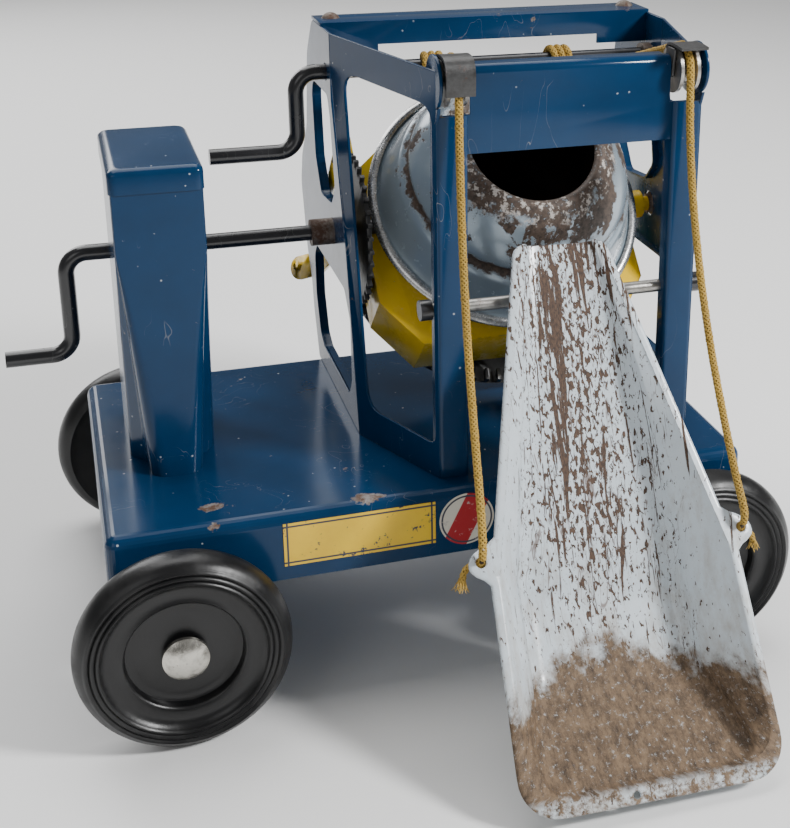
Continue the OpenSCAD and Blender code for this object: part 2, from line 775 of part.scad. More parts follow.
module drum_spindle() {
    color("#8d8f92") at_frame() on_drum_axis() {
        translate([0, 0, crown_s - 6]) cylinder(r = spindle_r, h = 14.9 - crown_s - 20);
        translate([0, 0, -19.1]) cylinder(r = 7, h = 1.6);
        translate([0, 0, -22.5]) difference() {
            cylinder(r = 7, h = 2.5);
            translate([0, 0, -1]) cylinder(r = spindle_r - 0.5, h = 5);
        }
    }
}

module spindle_nut() {
    color("#6f7073") at_frame() on_drum_axis() difference() {
        translate([0, 0, crown_s - 5]) cylinder(r = 5.5, h = 3.6, $fn = 6);
        translate([0, 0, crown_s - 8]) cylinder(r = spindle_r, h = 10);
    }
}

// --- ropes ---
// Three turns of rope side by side on the shaft.
module winding(sx) {
    color("#b4923f") at_frame() translate([sx * winding_x, windlass_y, windlass_z]) rotate([0, 90, 0])
        rotate_extrude() union() {
            translate([shaft_r, -rope_d]) square([rope_d * 0.6, 2 * rope_d]);
            for (i = [-1:1]) translate([shaft_r + rope_d / 2, i * rope_d]) circle(r = rope_d / 2, $fn = 24);
        }
}

module winding_left() {
    winding(-1);
}

module winding_right() {
    winding(1);
}

// Points along the rope's route, with each leg cut into short steps.
function route(p) = concat([for (i = [0:len(p) - 2], k = [0:2]) lerp(p[i], p[i + 1], k / 3)],
    [p[len(p) - 1]]);

function unit(v) = v / norm(v);

// A tube swept along a list of points.
module tube(p, r) {
    n = len(p);
    dir = [for (i = [0:n - 1]) unit(p[min(i + 1, n - 1)] - p[max(i - 1, 0)])];
    side = [1, 0, 0];
    loft([for (i = [0:n - 1]) let (u = unit(cross(dir[i], side)), v = cross(dir[i], u))
        [for (k = [0:rope_sides - 1]) let (a = k * 360 / rope_sides) p[i] + r * (cos(a) * u + sin(a) * v)]]);
}

module rope_left() {
    color("#b4923f") at_frame() tube(route(concat(OVER, DOWN_LEFT)), rope_d / 2);
}

module rope_right() {
    over = [for (p = OVER) [-p[0], p[1], p[2]]];
    color("#b4923f") at_frame() tube(route(concat(over, DOWN_RIGHT)), rope_d / 2);
}

// The rope's end through its ear, with a knot under it.
module rope_knot(sx) {
    color("#8f7a3a") at_frame() on_chute() translate([sx * (rim_half(lug_s) + lug_out), -lug_s, 0]) {
        translate([0, 0, -4]) cylinder(r = rope_d / 2, h = 5, $fn = 24);
        translate([0, 0, -chute_t - 3.6]) sphere(r = 3.4, $fn = 32);
    }
}

module rope_knot_left() {
    rope_knot(-1);
}

module rope_knot_right() {
    rope_knot(1);
}

on_ground() base_tray();
on_ground() label_band();
on_ground() label_badge();
on_ground() engine_housing();
on_ground() engine_cap();
on_ground() frame_left();
on_ground() frame_right();
on_ground() front_beam();
on_ground() rear_crossbeam();
on_ground() crossbeam_rivets();
on_ground() crank_bush();
on_ground() trunnion_bush();
on_ground() axle_left();
on_ground() axle_right();
on_ground() wheel_front_left();
on_ground() wheel_front_right();
on_ground() wheel_rear_left();
on_ground() wheel_rear_right();
on_ground() cap_front_left();
on_ground() cap_front_right();
on_ground() cap_rear_left();
on_ground() cap_rear_right();
on_ground() pulley_hood_left();
on_ground() pulley_hood_right();
on_ground() pulley_pin_left();
on_ground() pulley_pin_right();
on_ground() pulley_left();
on_ground() pulley_right();
on_ground() chute_rod();
on_ground() rod_end_caps();
on_ground() chute_pan();
on_ground() chute_hinge();
on_ground() cradle_pan();
on_ground() tilt_lever();
on_ground() cradle_trunnion();
on_ground() lever_rivets();
on_ground() drum_crank();
on_ground() drive_gear();
on_ground() drum_front();
on_ground() drum_rear();
on_ground() drum_band();
on_ground() drum_spindle();
on_ground() crown_wheel();
on_ground() spindle_nut();
on_ground() windlass_crank();
on_ground() windlass_collars();
on_ground() winding_left();
on_ground() winding_right();
on_ground() rope_left();
on_ground() rope_right();
on_ground() rope_knot_left();
on_ground() rope_knot_right();
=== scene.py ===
import json
import math
import random

import bmesh
import bpy
from mathutils import Matrix, Vector


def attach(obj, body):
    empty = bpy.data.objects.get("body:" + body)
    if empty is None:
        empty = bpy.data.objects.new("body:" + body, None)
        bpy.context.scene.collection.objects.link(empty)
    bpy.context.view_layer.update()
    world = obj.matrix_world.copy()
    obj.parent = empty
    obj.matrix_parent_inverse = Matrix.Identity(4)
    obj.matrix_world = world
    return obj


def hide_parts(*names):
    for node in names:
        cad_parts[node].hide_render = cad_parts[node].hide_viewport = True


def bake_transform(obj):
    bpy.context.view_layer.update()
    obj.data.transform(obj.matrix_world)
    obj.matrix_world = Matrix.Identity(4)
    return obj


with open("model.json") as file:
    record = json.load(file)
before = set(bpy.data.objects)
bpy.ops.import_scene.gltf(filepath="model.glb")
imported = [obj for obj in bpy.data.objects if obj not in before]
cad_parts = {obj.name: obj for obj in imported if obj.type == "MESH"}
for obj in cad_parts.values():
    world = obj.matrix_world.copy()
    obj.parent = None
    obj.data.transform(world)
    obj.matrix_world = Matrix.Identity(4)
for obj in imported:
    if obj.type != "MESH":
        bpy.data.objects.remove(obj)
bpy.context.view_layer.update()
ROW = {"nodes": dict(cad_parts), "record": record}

NODES = ROW["nodes"]
MM = 0.001
# mm from the middle of the base: the frame's middle, the deck's top, the frame's side sheets, the
# outer legs of its posts and the thickness of its sheet
CX = 50.5
DECK = 75.5
SIDE_X = 70.5
POST_X = 50.0
T = 1.2
# what has to be added to a point measured from the middle of the base
ORIGIN_X = 7.25
ORIGIN_Y = 30.0
SIDES = {"left": -1, "right": 1}
# (y, z) of the shaft the drum tips on, of the windlass and of the pulleys' pins
PIVOT_Y, PIVOT_Z = 28.5, 147.5
WINDLASS_Y, WINDLASS_Z = 32, 212.5
PIN_Y, PIN_Z = -55.5, 225
PIN_R = 1.6
PULLEY_X = 43
WHEEL_X, WHEEL_Y, WHEEL_R = 98, 84, 37.5


def off(x, y, z):
    """A point given in mm from the middle of the base, in the row frame, in metres."""
    return Vector(((x + ORIGIN_X) * MM, (y + ORIGIN_Y) * MM, z * MM))


# ---------------------------------------------------------------- node helpers
class Mat:
    """A node material, built by short calls that each give back a socket."""

    def __init__(self, name, rough=0.5, metallic=0.0, coat=0.0, coat_rough=0.1):
        self.mat = bpy.data.materials.new(name)
        self.mat.use_nodes = True
        self.nt = self.mat.node_tree
        self.bsdf = next(n for n in self.nt.nodes if n.type == "BSDF_PRINCIPLED")
        self.set("Roughness", rough)
        self.set("Metallic", metallic)
        self.set("Coat Weight", coat)
        self.set("Coat Roughness", coat_rough)
        self.coord = self.nt.nodes.new("ShaderNodeTexCoord")
        self.obj = self.coord.outputs["Object"]
        self.uv = self.coord.outputs["UV"]

    def put(self, sock, value):
        if isinstance(value, bpy.types.NodeSocket):
            self.nt.links.new(value, sock)
        elif isinstance(value, (tuple, list)) and len(value) == 3 and sock.type == "RGBA":
            sock.default_value = (*value, 1.0)
        else:
            sock.default_value = value

    def set(self, name, value):
        self.put(self.bsdf.inputs[name], value)

    def node(self, kind, **inputs):
        n = self.nt.nodes.new(kind)
        for k, v in inputs.items():
            self.put(n.inputs[k], v)
        return n

    def scaled(self, vec, sx, sy, sz):
        n = self.nt.nodes.new("ShaderNodeMapping")
        self.put(n.inputs["Vector"], vec)
        n.inputs["Scale"].default_value = (sx, sy, sz)
        return n.outputs["Vector"]

    def noise(self, vec, scale, detail=4.0, rough=0.6, dist=0.0):
        n = self.node("ShaderNodeTexNoise", Vector=vec, Scale=scale, Detail=detail, Roughness=rough,
                      Distortion=dist)
        return n.outputs["Fac"]

    def cells(self, vec, scale):
        """Distance to the nearest of many scattered points."""
        n = self.nt.nodes.new("ShaderNodeTexVoronoi")
        self.put(n.inputs["Vector"], vec)
        n.inputs["Scale"].default_value = scale
        return n.outputs["Distance"]

    def math(self, op, a, b=0.0):
        n = self.nt.nodes.new("ShaderNodeMath")
        n.operation = op
        n.use_clamp = op == "MULTIPLY_ADD"
        self.put(n.inputs[0], a)
        self.put(n.inputs[1], b)
        return n.outputs[0]

    def ramp(self, fac, lo, hi):
        """0 below lo, 1 above hi (or the other way round when lo > hi)."""
        n = self.nt.nodes.new("ShaderNodeMapRange")
        self.put(n.inputs["Value"], fac)
        n.inputs["From Min"].default_value = lo
        n.inputs["From Max"].default_value = hi
        return n.outputs["Result"]

    def mix(self, fac, a, b):
        n = self.nt.nodes.new("ShaderNodeMix")
        n.data_type = "RGBA"
        self.put(n.inputs[0], fac)
        self.put(n.inputs[6], a)
        self.put(n.inputs[7], b)
        return n.outputs[2]

    def blend(self, fac, a, b):
        n = self.nt.nodes.new("ShaderNodeMix")
        self.put(n.inputs[0], fac)
        self.put(n.inputs[2], a)
        self.put(n.inputs[3], b)
        return n.outputs[0]

    def bump(self, height, strength, dist):
        n = self.nt.nodes.new("ShaderNodeBump")
        self.put(n.inputs["Height"], height)
        n.inputs["Strength"].default_value = strength
        n.inputs["Distance"].default_value = dist
        self.set("Normal", n.outputs["Normal"])

    def edges(self, radius, lo, hi):
        """1 along sharp edges, 0 on open faces."""
        bev = self.nt.nodes.new("ShaderNodeBevel")
        bev.samples = 4
        bev.inputs["Radius"].default_value = radius
        geo = self.nt.nodes.new("ShaderNodeNewGeometry")
        dot = self.nt.nodes.new("ShaderNodeVectorMath")
        dot.operation = "DOT_PRODUCT"
        self.nt.links.new(bev.outputs["Normal"], dot.inputs[0])
        self.nt.links.new(geo.outputs["Normal"], dot.inputs[1])
        return self.ramp(dot.outputs["Value"], hi, lo)

    def lines(self, vec, scale, width, dist=1.5):
        """Thin wandering lines, such as scratches."""
        n = self.noise(vec, scale, 2.0, 0.5, dist)
        return self.ramp(self.math("ABSOLUTE", self.math("SUBTRACT", n, 0.5)), width, width * 0.3)

    def any(self, *socks):
        out = socks[0]
        for s in socks[1:]:
            out = self.math("MAXIMUM", out, s)
        return out


def worn_paint(name, base, shade, chip_a, chip_b, wear=0.5, edge=0.5, rough=0.22, coat=0.5, speck=0.5,
               spots=(), spec=0.5):
    """Gloss paint with chips down to rusty steel, scratches, dust and worn edges."""
    m = Mat(name, rough, 0.0, coat, 0.12)
    o = m.obj
    big = m.noise(o, 28, 5, 0.6)
    fine = m.noise(o, 620, 6, 0.75)
    mid = m.noise(o, 150, 6, 0.7)
    patch = m.ramp(big, 0.46, 0.66)
    chips = m.ramp(m.math("ADD", fine, m.math("MULTIPLY", patch, 0.10 * wear)), 0.715 - 0.02 * wear, 0.74)
    chips2 = m.ramp(m.math("ADD", mid, m.math("MULTIPLY", patch, 0.12 * wear)), 0.735 - 0.02 * wear, 0.75)
    rim = m.edges(0.0011, 0.80, 0.93)
    flaked = m.math("ADD", mid, m.math("MULTIPLY", big, 0.5 * edge))
    rim = m.math("MULTIPLY", rim, m.ramp(flaked, 0.80 - 0.12 * edge, 0.84 - 0.12 * edge))
    scr = m.math("MULTIPLY", m.lines(m.scaled(o, 1, 1, 0.35), 55, 0.0022), m.ramp(big, 0.52, 0.60))
    bare = m.any(chips, chips2, rim)
    for centre, reach in spots:
        far = m.node("ShaderNodeVectorMath")
        far.operation = "DISTANCE"
        m.put(far.inputs[0], m.scaled(o, 1, 2.2, 2.2))
        far.inputs[1].default_value = (centre[0], centre[1] * 2.2, centre[2] * 2.2)
        ragged = m.math("ADD", far.outputs["Value"], m.math("MULTIPLY", m.math("SUBTRACT", mid, 0.5), 0.022))
        bare = m.any(bare, m.ramp(ragged, reach, reach * 0.85))
    tone = m.mix(m.ramp(big, 0.3, 0.75), base, shade)
    dust = m.math("MULTIPLY", m.ramp(m.cells(o, 170), 0.085, 0.06), m.ramp(mid, 0.50, 0.56))
    tone = m.mix(m.math("MULTIPLY", dust, 0.8 * speck), tone, (0.50, 0.53, 0.55))
    steel = m.mix(m.ramp(m.noise(o, 380, 4, 0.7), 0.4, 0.62), chip_a, chip_b)
    col = m.mix(bare, tone, steel)
    col = m.mix(m.math("MULTIPLY", scr, 0.45), col, (0.35, 0.34, 0.33))
    m.set("Base Color", col)
    m.set("Specular IOR Level", spec)
    rgh = m.blend(m.noise(o, 90, 6, 0.7), rough * 0.7, rough * 1.7)
    m.set("Roughness", m.blend(bare, rgh, 0.62))
    m.set("Coat Weight", m.blend(bare, coat, 0.0))
    h = m.math("ADD", m.math("MULTIPLY", bare, -1.0), m.math("MULTIPLY", m.noise(o, 200, 4, 0.6), 0.25))
    m.bump(h, 0.25, 0.0003)
    return m


def steel_mat(name, dark, light, rust, rusty=0.4, rough=0.35, metallic=0.9, dirt=0.4):
    """Bare or plated steel with rust blooms, fine scratches and patches of dirt."""
    m = Mat(name, rough, metallic)
    o = m.obj
    big = m.noise(o, 90, 6, 0.65)
    fine = m.noise(o, 900, 5, 0.7)
    bloom = m.math("ADD", m.math("MULTIPLY", big, 0.7), m.math("MULTIPLY", fine, 0.3))
    red = m.ramp(bloom, 0.66 - 0.22 * rusty, 0.72 - 0.18 * rusty)
    col = m.mix(fine, dark, light)
    soil = m.math("MULTIPLY", m.ramp(m.noise(o, 240, 5, 0.6), 0.5, 0.7), dirt)
    col = m.mix(soil, col, (0.03, 0.025, 0.02))
    m.set("Base Color", m.mix(red, col, rust))
    m.set("Metallic", m.blend(red, metallic, 0.15))
    m.set("Roughness", m.blend(red, m.blend(fine, rough * 0.6, rough * 1.5), 0.75))
    m.bump(m.math("ADD", fine, m.math("MULTIPLY", red, 0.8)), 0.22, 0.00025)
    return m


# spots worn to rust on the deck: where, and how far each reaches in metres
RUST_SPOTS = [(off(-81.1, -55.8, DECK), 0.0062), (off(-27.5, -66, DECK), 0.0075),
              (off(-84.3, -69, DECK), 0.0035)]
# name: paint, its shade, the two colours of its chips, how it is worn and how it shines
PAINTS = {
    "blue_paint": ((0.0010, 0.026, 0.076), (0.0018, 0.036, 0.104), (0.10, 0.055, 0.035), (0.23, 0.21, 0.20),
                   {"wear": 0.5, "edge": 0.45, "rough": 0.16, "coat": 0.10, "spec": 0.22, "speck": 1.0,
                    "spots": RUST_SPOTS}),
    "yellow_paint": ((1.0, 0.68, 0.006), (0.90, 0.54, 0.004), (0.06, 0.04, 0.03), (0.16, 0.12, 0.09),
                     {"wear": 0.6, "edge": 0.8}),
    "black_enamel": ((0.008, 0.008, 0.010), (0.014, 0.014, 0.017), (0.08, 0.04, 0.025), (0.14, 0.10, 0.08),
                     {"wear": 0.5, "edge": 0.3, "rough": 0.25}),
    "white_enamel": ((0.74, 0.77, 0.78), (0.62, 0.64, 0.64), (0.05, 0.03, 0.02), (0.14, 0.08, 0.045),
                     {"wear": 1.6, "edge": 1.2, "rough": 0.3}),
    "drum_silver": ((0.38, 0.45, 0.50), (0.30, 0.36, 0.41), (0.05, 0.03, 0.022), (0.12, 0.07, 0.05),
                    {"wear": 1.3, "edge": 1.0, "rough": 0.28}),
    "gold_cord": ((0.50, 0.32, 0.055), (0.36, 0.22, 0.035), (0.15, 0.10, 0.03), (0.5, 0.36, 0.12),
                  {"wear": 0.5, "edge": 0.2, "rough": 0.55, "coat": 0.0}),
    # dark_cord is the gold cord darkened, worn by each braid's core as painted shade in the gaps between its
    # strands
    "dark_cord": ((0.035, 0.020, 0.006), (0.02, 0.012, 0.004), (0.05, 0.03, 0.01), (0.1, 0.07, 0.03),
                  {"wear": 0.5, "edge": 0.2, "rough": 0.8, "coat": 0.0}),
}
# name: dark and light steel, its rust, then how rusty, rough, metallic and dirty it is
STEELS = {
    "rusty_steel": ((0.10, 0.08, 0.07), (0.30, 0.26, 0.22), (0.075, 0.035, 0.02), 0.9, 0.5, 0.7),
    "bare_steel": ((0.30, 0.29, 0.27), (0.55, 0.53, 0.50), (0.10, 0.05, 0.03), 0.35, 0.32),
    "bright_steel": ((0.45, 0.46, 0.46), (0.72, 0.72, 0.72), (0.10, 0.06, 0.04), 0.2, 0.25),
    "nickel": ((0.45, 0.43, 0.38), (0.70, 0.68, 0.62), (0.13, 0.09, 0.05), 0.25, 0.22, 0.95, 0.5),
    "dark_steel": ((0.045, 0.045, 0.045), (0.12, 0.12, 0.12), (0.07, 0.03, 0.018), 0.3, 0.42, 0.85),
    "drum_inside": ((0.012, 0.010, 0.009), (0.035, 0.030, 0.026), (0.045, 0.024, 0.014), 0.7, 0.6, 0.3),
}
MATS = {name: worn_paint(name, *colours, **finish) for name, (*colours, finish) in PAINTS.items()}
MATS.update({name: steel_mat(name, *values) for name, values in STEELS.items()})


def rubber():
    m = Mat("black_rubber", 0.5, 0.0)
    o = m.obj
    fine = m.noise(o, 700, 6, 0.7)
    dusty = m.ramp(m.noise(o, 60, 6, 0.65), 0.45, 0.75)
    col = m.mix(m.math("MULTIPLY", dusty, 0.35), (0.0035, 0.0035, 0.004), (0.030, 0.029, 0.028))
    m.set("Base Color", col)
    m.set("Roughness", m.blend(dusty, 0.32, 0.6))
    m.bump(fine, 0.2, 0.0003)
    return m


MATS["black_rubber"] = rubber()

# ---------------------------------------------------------------- mesh helpers


def finish_mesh(name, verts, faces, mat, body, nodes, uv=None, slot=None, angle=35, loose=False,
                second=None):
    """A mesh from points in mm from the middle of the base, riding on a body in place of CAD nodes.

    second is another material with the faces that wear it; a loose piece is not attached to its body.
    """
    me = bpy.data.meshes.new(name)
    me.from_pydata([off(*v) for v in verts], [], faces)
    if uv:
        layer = me.uv_layers.new(name="UVMap")
        for loop in me.loops:
            layer.data[loop.index].uv = uv[loop.vertex_index]
    bm = bmesh.new()
    bm.from_mesh(me)
    bmesh.ops.recalc_face_normals(bm, faces=bm.faces)
    bm.to_mesh(me)
    bm.free()
    for p in me.polygons:
        p.use_smooth = True
    me.set_sharp_from_angle(angle=math.radians(angle))
    ob = bpy.data.objects.new(name, me)
    bpy.context.collection.objects.link(ob)
    me.materials.append(MATS[mat].mat)
    if second:
        me.materials.append(MATS[second[0]].mat)
        for i in second[1]:
            me.polygons[i].material_index = 1
    if not loose:
        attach(ob, body)
    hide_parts(*nodes)
    slot or mat
    return ob


def softened(node, body, mat, width, segments=2):
    """A CAD node's shape with its sharp sheet edges rounded over, width in mm."""
    me = NODES[node].data.copy()
    bm = bmesh.new()
    bm.from_mesh(me)
    bmesh.ops.remove_doubles(bm, verts=bm.verts, dist=1e-6)
    bmesh.ops.dissolve_limit(bm, angle_limit=math.radians(1.5), verts=bm.verts, edges=bm.edges)
    bm.to_mesh(me)
    bm.free()
    for p in me.polygons:
        p.use_smooth = True
    ob = bpy.data.objects.new(node + "_sheet", me)
    bpy.context.collection.objects.link(ob)
    bev = ob.modifiers.new("soft_edges", "BEVEL")
    bev.width = width * MM
    bev.segments = segments
    bev.limit_method = "ANGLE"
    bev.angle_limit = math.radians(35)
    bev.harden_normals = True
    me.materials.clear()
    me.materials.append(MATS[mat].mat)
    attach(ob, body)
    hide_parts(node)
    return ob


def lerp(a, b, u):
    return a + (b - a) * u


def lookup(x, table):
    """The value at x of a table of (x, value), straight between its rows."""
    for (x0, y0), (x1, y1) in zip(table, table[1:]):
        if x0 <= x <= x1:
            return lerp(y0, y1, (x - x0) / (x1 - x0))
    return table[0][1] if x < table[0][0] else table[-1][1]


def rounded(poly, radii, n=5, closed=True):
    """The polygon with each corner turned into an arc of its own radius."""
    out = []
    for i, p in enumerate(poly):
        r = radii[i] if isinstance(radii, (list, tuple)) else radii
        if not closed and i in (0, len(poly) - 1):
            out.append(tuple(p))
            continue
        p = Vector(p)
        a = Vector(poly[i - 1]) - p
        b = Vector(poly[(i + 1) % len(poly)]) - p
        if a.length < 1e-6 or b.length < 1e-6:
            out += [tuple(p)] * (n + 1)
            continue
        ang = a.angle(b)
        reach = min(r / max(math.tan(ang / 2), 1e-4), a.length * 0.48, b.length * 0.48)
        s, e = p + a.normalized() * reach, p + b.normalized() * reach
        for k in range(n + 1):
            u = k / n
            out.append(tuple(s * (1 - u) ** 2 + p * 2 * u * (1 - u) + e * u * u))
    return out


def loft(rings, closed=True, caps=True):
    """Vertices and faces of a surface through equal rings of points."""
    n = len(rings[0])
    verts = [p for ring in rings for p in ring]
    faces = []
    for i in range(len(rings) - 1):
        for j in range(n if closed else n - 1):
            k = (j + 1) % n
            faces.append((i * n + j, i * n + k, (i + 1) * n + k, (i + 1) * n + j))
    if closed and caps:
        faces.append(tuple(range(n - 1, -1, -1)))
        faces.append(tuple(range((len(rings) - 1) * n, len(rings) * n)))
    return verts, faces


def wrapped(rings):
    """A loft whose last ring runs on into its first."""
    n, last = len(rings[0]), (len(rings) - 1) * len(rings[0])
    verts, faces = loft(rings, True, False)
    faces += [(last + j, last + (j + 1) % n, (j + 1) % n, j) for j in range(n)]
    return verts, faces


def plate(outline, holes, t, place, bevel=0.3):
    """A flat sheet with holes and rolled edges; place(u, v, w) puts each of its points."""
    cu = bpy.data.curves.new("outline", "CURVE")
    cu.dimensions = "2D"
    cu.fill_mode = "BOTH"
    cu.extrude = t / 2 - bevel
    cu.bevel_depth = bevel
    cu.bevel_resolution = 2
    cu.offset = -bevel
    for loop in [outline] + list(holes):
        sp = cu.splines.new("POLY")
        sp.points.add(len(loop) - 1)
        for q, p in zip(sp.points, loop):
            q.co = (p[0], p[1], 0, 1)
        sp.use_cyclic_u = True
    ob = bpy.data.objects.new("outline", cu)
    bpy.context.collection.objects.link(ob)
    bpy.context.view_layer.update()
    me = bpy.data.meshes.new_from_object(ob.evaluated_get(bpy.context.evaluated_depsgraph_get()))
    verts = [place(*v.co) for v in me.vertices]
    faces = [tuple(p.vertices) for p in me.polygons]
    bpy.data.objects.remove(ob)
    bpy.data.curves.remove(cu)
    bpy.data.meshes.remove(me)
    return verts, faces


def inset(loop, d):
    """The loop moved d to its left."""
    out = []
    for i, p in enumerate(loop):
        a, b = Vector(loop[i - 1]), Vector(loop[(i + 1) % len(loop)])
        t = b - a
        t = t.normalized() if t.length > 1e-6 else Vector((1, 0))
        out.append((p[0] - t.y * d, p[1] + t.x * d))
    return out


def turned_edge(loop, depth, t, place):
    """The flange round a window: the sheet's edge turned back by depth."""
    area = sum(a[0] * b[1] - b[0] * a[1] for a, b in zip(loop, loop[1:] + loop[:1]))
    inner = inset(loop, t if area < 0 else -t)
    rings = [[place(*p, 0) for p in loop], [place(*p, depth) for p in loop],
             [place(*p, depth) for p in inner], [place(*p, 0) for p in inner]]
    return wrapped([list(r) for r in zip(*rings)])


def joined(*parts):
    verts, faces = [], []
    for v, f in parts:
        base = len(verts)
        verts += v
        faces += [tuple(base + i for i in face) for face in f]
    return verts, faces


def lathe(profile, centre, axis, segments=128):
    """Profile (radius, distance along the axis) turned about the axis."""
    axis = Vector(axis).normalized()
    u = axis.orthogonal().normalized()
    v = axis.cross(u)
    c = Vector(centre)
    rings = []
    for k in range(segments):
        d = u * math.cos(2 * math.pi * k / segments) + v * math.sin(2 * math.pi * k / segments)
        rings.append([tuple(c + d * r + axis * h) for r, h in profile])
    return wrapped(rings)


def smooth_path(points, step):
    """Points about step apart on a smooth curve through the given ones, with each one's length so far."""
    p = [Vector(q) for q in points]
    p = [p[0] * 2 - p[1]] + p + [p[-1] * 2 - p[-2]]
    dense = []
    for i in range(1, len(p) - 2):
        for k in range(24):
            u = k / 24
            a, b, c, d = p[i - 1:i + 3]
            dense.append(0.5 * ((2 * b) + (c - a) * u + (2 * a - 5 * b + 4 * c - d) * u * u
                                + (3 * b - a - 3 * c + d) * u ** 3))
    dense.append(p[-2])
    out, length, nxt = [], 0.0, 0.0
    for a, b in zip(dense, dense[1:]):
        seg = (b - a).length
        while seg > 0 and nxt <= length + seg:
            out.append(a.lerp(b, (nxt - length) / seg))
            nxt += step
        length += seg
    return out + [dense[-1]]


def ring_round(c, u, v, a, b, sides=6):
    return [tuple(c + u * a * math.cos(2 * math.pi * k / sides) + v * b * math.sin(2 * math.pi * k / sides))
            for k in range(sides)]


def braid(path, radius, pitch=8.0, strands=5, step=0.75):
    """Strands that wind both ways round a path; the last faces are the dark core inside them, painted shade
    in the gaps between the strands.
    """
    pts = smooth_path(path, step)
    n = len(pts)
    frames = []
    u = (pts[1] - pts[0]).orthogonal().normalized()
    for i in range(n):
        t = (pts[min(i + 1, n - 1)] - pts[max(i - 1, 0)]).normalized()
        u = (u - t * u.dot(t)).normalized()
        frames.append((u.copy(), t.cross(u)))
    wire = radius * 0.215
    parts = []
    for sense in (-1, 1):
        for s in range(strands):
            rings = []
            for i in range(n):
                a = sense * 2 * math.pi * i * step / pitch + 2 * math.pi * s / strands
                turn = 2 * math.pi * strands * i * step / pitch
                lift = math.sin(turn + math.pi * s) * sense
                fu, fv = frames[i]
                out = fu * math.cos(a) + fv * math.sin(a)
                tang = fu * -math.sin(a) + fv * math.cos(a)
                c = pts[i] + out * (radius - wire * 1.35 + wire * 0.35 * lift)
                rings.append(ring_round(c, out, tang, wire, wire * 1.45))
            parts.append(loft(rings))
    # the core wears the darker cord: painted shade in the gaps between the strands
    core = radius * 0.66
    parts.append(loft([ring_round(pts[i], *frames[i], core, core, 8) for i in range(0, n, 2)]))
    return joined(*parts), len(parts[-1][1])


def cord_piece(name, parts, body, nodes, loose=False):
    """Braids and loose ends as one piece, with each braid's core in the darker cord as painted shade between
    its strands.
    """
    verts, faces, dark = [], [], []
    for (v, f), core in parts:
        base, start = len(verts), len(faces)
        verts += v
        faces += [tuple(base + i for i in face) for face in f]
        # the core's faces take the darker cord, painted shade between the strands
        dark += list(range(start + len(f) - core, start + len(f)))
    return finish_mesh(name, verts, faces, "gold_cord", body, nodes, loose=loose, second=("dark_cord", dark))


# ---------------------------------------------------------------- chute
# s runs down the pan from its rod: its upper end, where it widens no more, where its floor starts to
# rise, its lip, the end of its trough and the middle of its two ears
CHUTE_ANGLE, CHUTE_SKEW = 52, 1.4
TOP_S, SCOOP_S, FLOOR_END = -7.5, 112.0, 145.0
LIP_S = TOP_S + 197
TROUGH_END = LIP_S - 7.5
LUG_S = 105.0
DEPTH = 27.0
SHEET = 0.95
# how far an ear stands out from the rim, along s from its middle
EAR = [(-8, 0), (-6, 2.2), (-5, 4.4), (-3, 7.2), (-1.5, 8), (0, 8.2), (1.5, 8), (3, 7.2), (5, 4.4), (6, 2.2),
       (8, 0)]
CHUTE = (Matrix.Translation((CX - 0.5, -54, 155)) @ Matrix.Rotation(math.radians(CHUTE_ANGLE), 4, "X")
         @ Matrix.Rotation(math.radians(-CHUTE_SKEW), 4, "Z"))


def rim_half(s):
    """Half the pan's width over its rims at s."""
    if s < SCOOP_S:
        return lerp(18, 46, (s - TOP_S) / (SCOOP_S - TOP_S))
    return lerp(46, 47.5, (s - SCOOP_S) / 66)


def corner(s, end, r):
    """How far a corner of radius r, rounded off towards end, comes in at s."""
    return r - math.sqrt(max(0.0, r * r - max(0.0, s - end + r) ** 2))


def ear_hole(sx):
    """The middle of the hole in the ear on one side."""
    return CHUTE @ Vector((sx * (rim_half(LUG_S) + 4), -LUG_S, 0))


def chute_section(s):
    """Across the pan at s: points (x, z) of its face, with the rim rolled down at both edges."""
    if s < 120:
        d = lerp(3.2, DEPTH, max(0, (s - TOP_S) / (120 - TOP_S)) ** 1.25)
    elif s < FLOOR_END:
        d = DEPTH
    elif s < TROUGH_END:
        d = lerp(DEPTH, 6, ((s - FLOOR_END) / (TROUGH_END - FLOOR_END)) ** 1.3)
    else:
        u = min(1.0, (s - TROUGH_END) / 2.4)
        d = 6 * (1 - u * u * (3 - 2 * u))
    e = rim_half(s) - corner(s, LIP_S, 14) - corner(-s, -TOP_S, 4) + lookup(s - LUG_S, EAR)
    w = rim_half(s) - 3.6 - corner(s, TROUGH_END + 1, 12)
    f = w - 0.42 * d
    h = min(8, d * 0.7)
    half = [(-e, -0.9), (-e + 0.25, -0.3), (-e + 0.9, 0)]
    half += [(lerp(-e + 0.9, -w - 0.4, k / 3), 0) for k in (1, 2, 3)]
    half += [(lerp(-w + 0.1, -f - 0.1, k / 4) - 0.2 * (k == 0), lerp(-0.35 * min(1, d), -d + h, k / 4))
             for k in range(5)]
    half += [(-f + 7.6 + 8 * math.cos(math.radians(a)), -d + h + h * math.sin(math.radians(a)))
             for a in (205, 218, 231, 244, 257, 270)]
    half += [(lerp(-f + 7.6, 0, k / 6), -d) for k in (1, 2, 3, 4, 5)]
    return half + [(0, -d)] + [(-x, z) for x, z in reversed(half)]


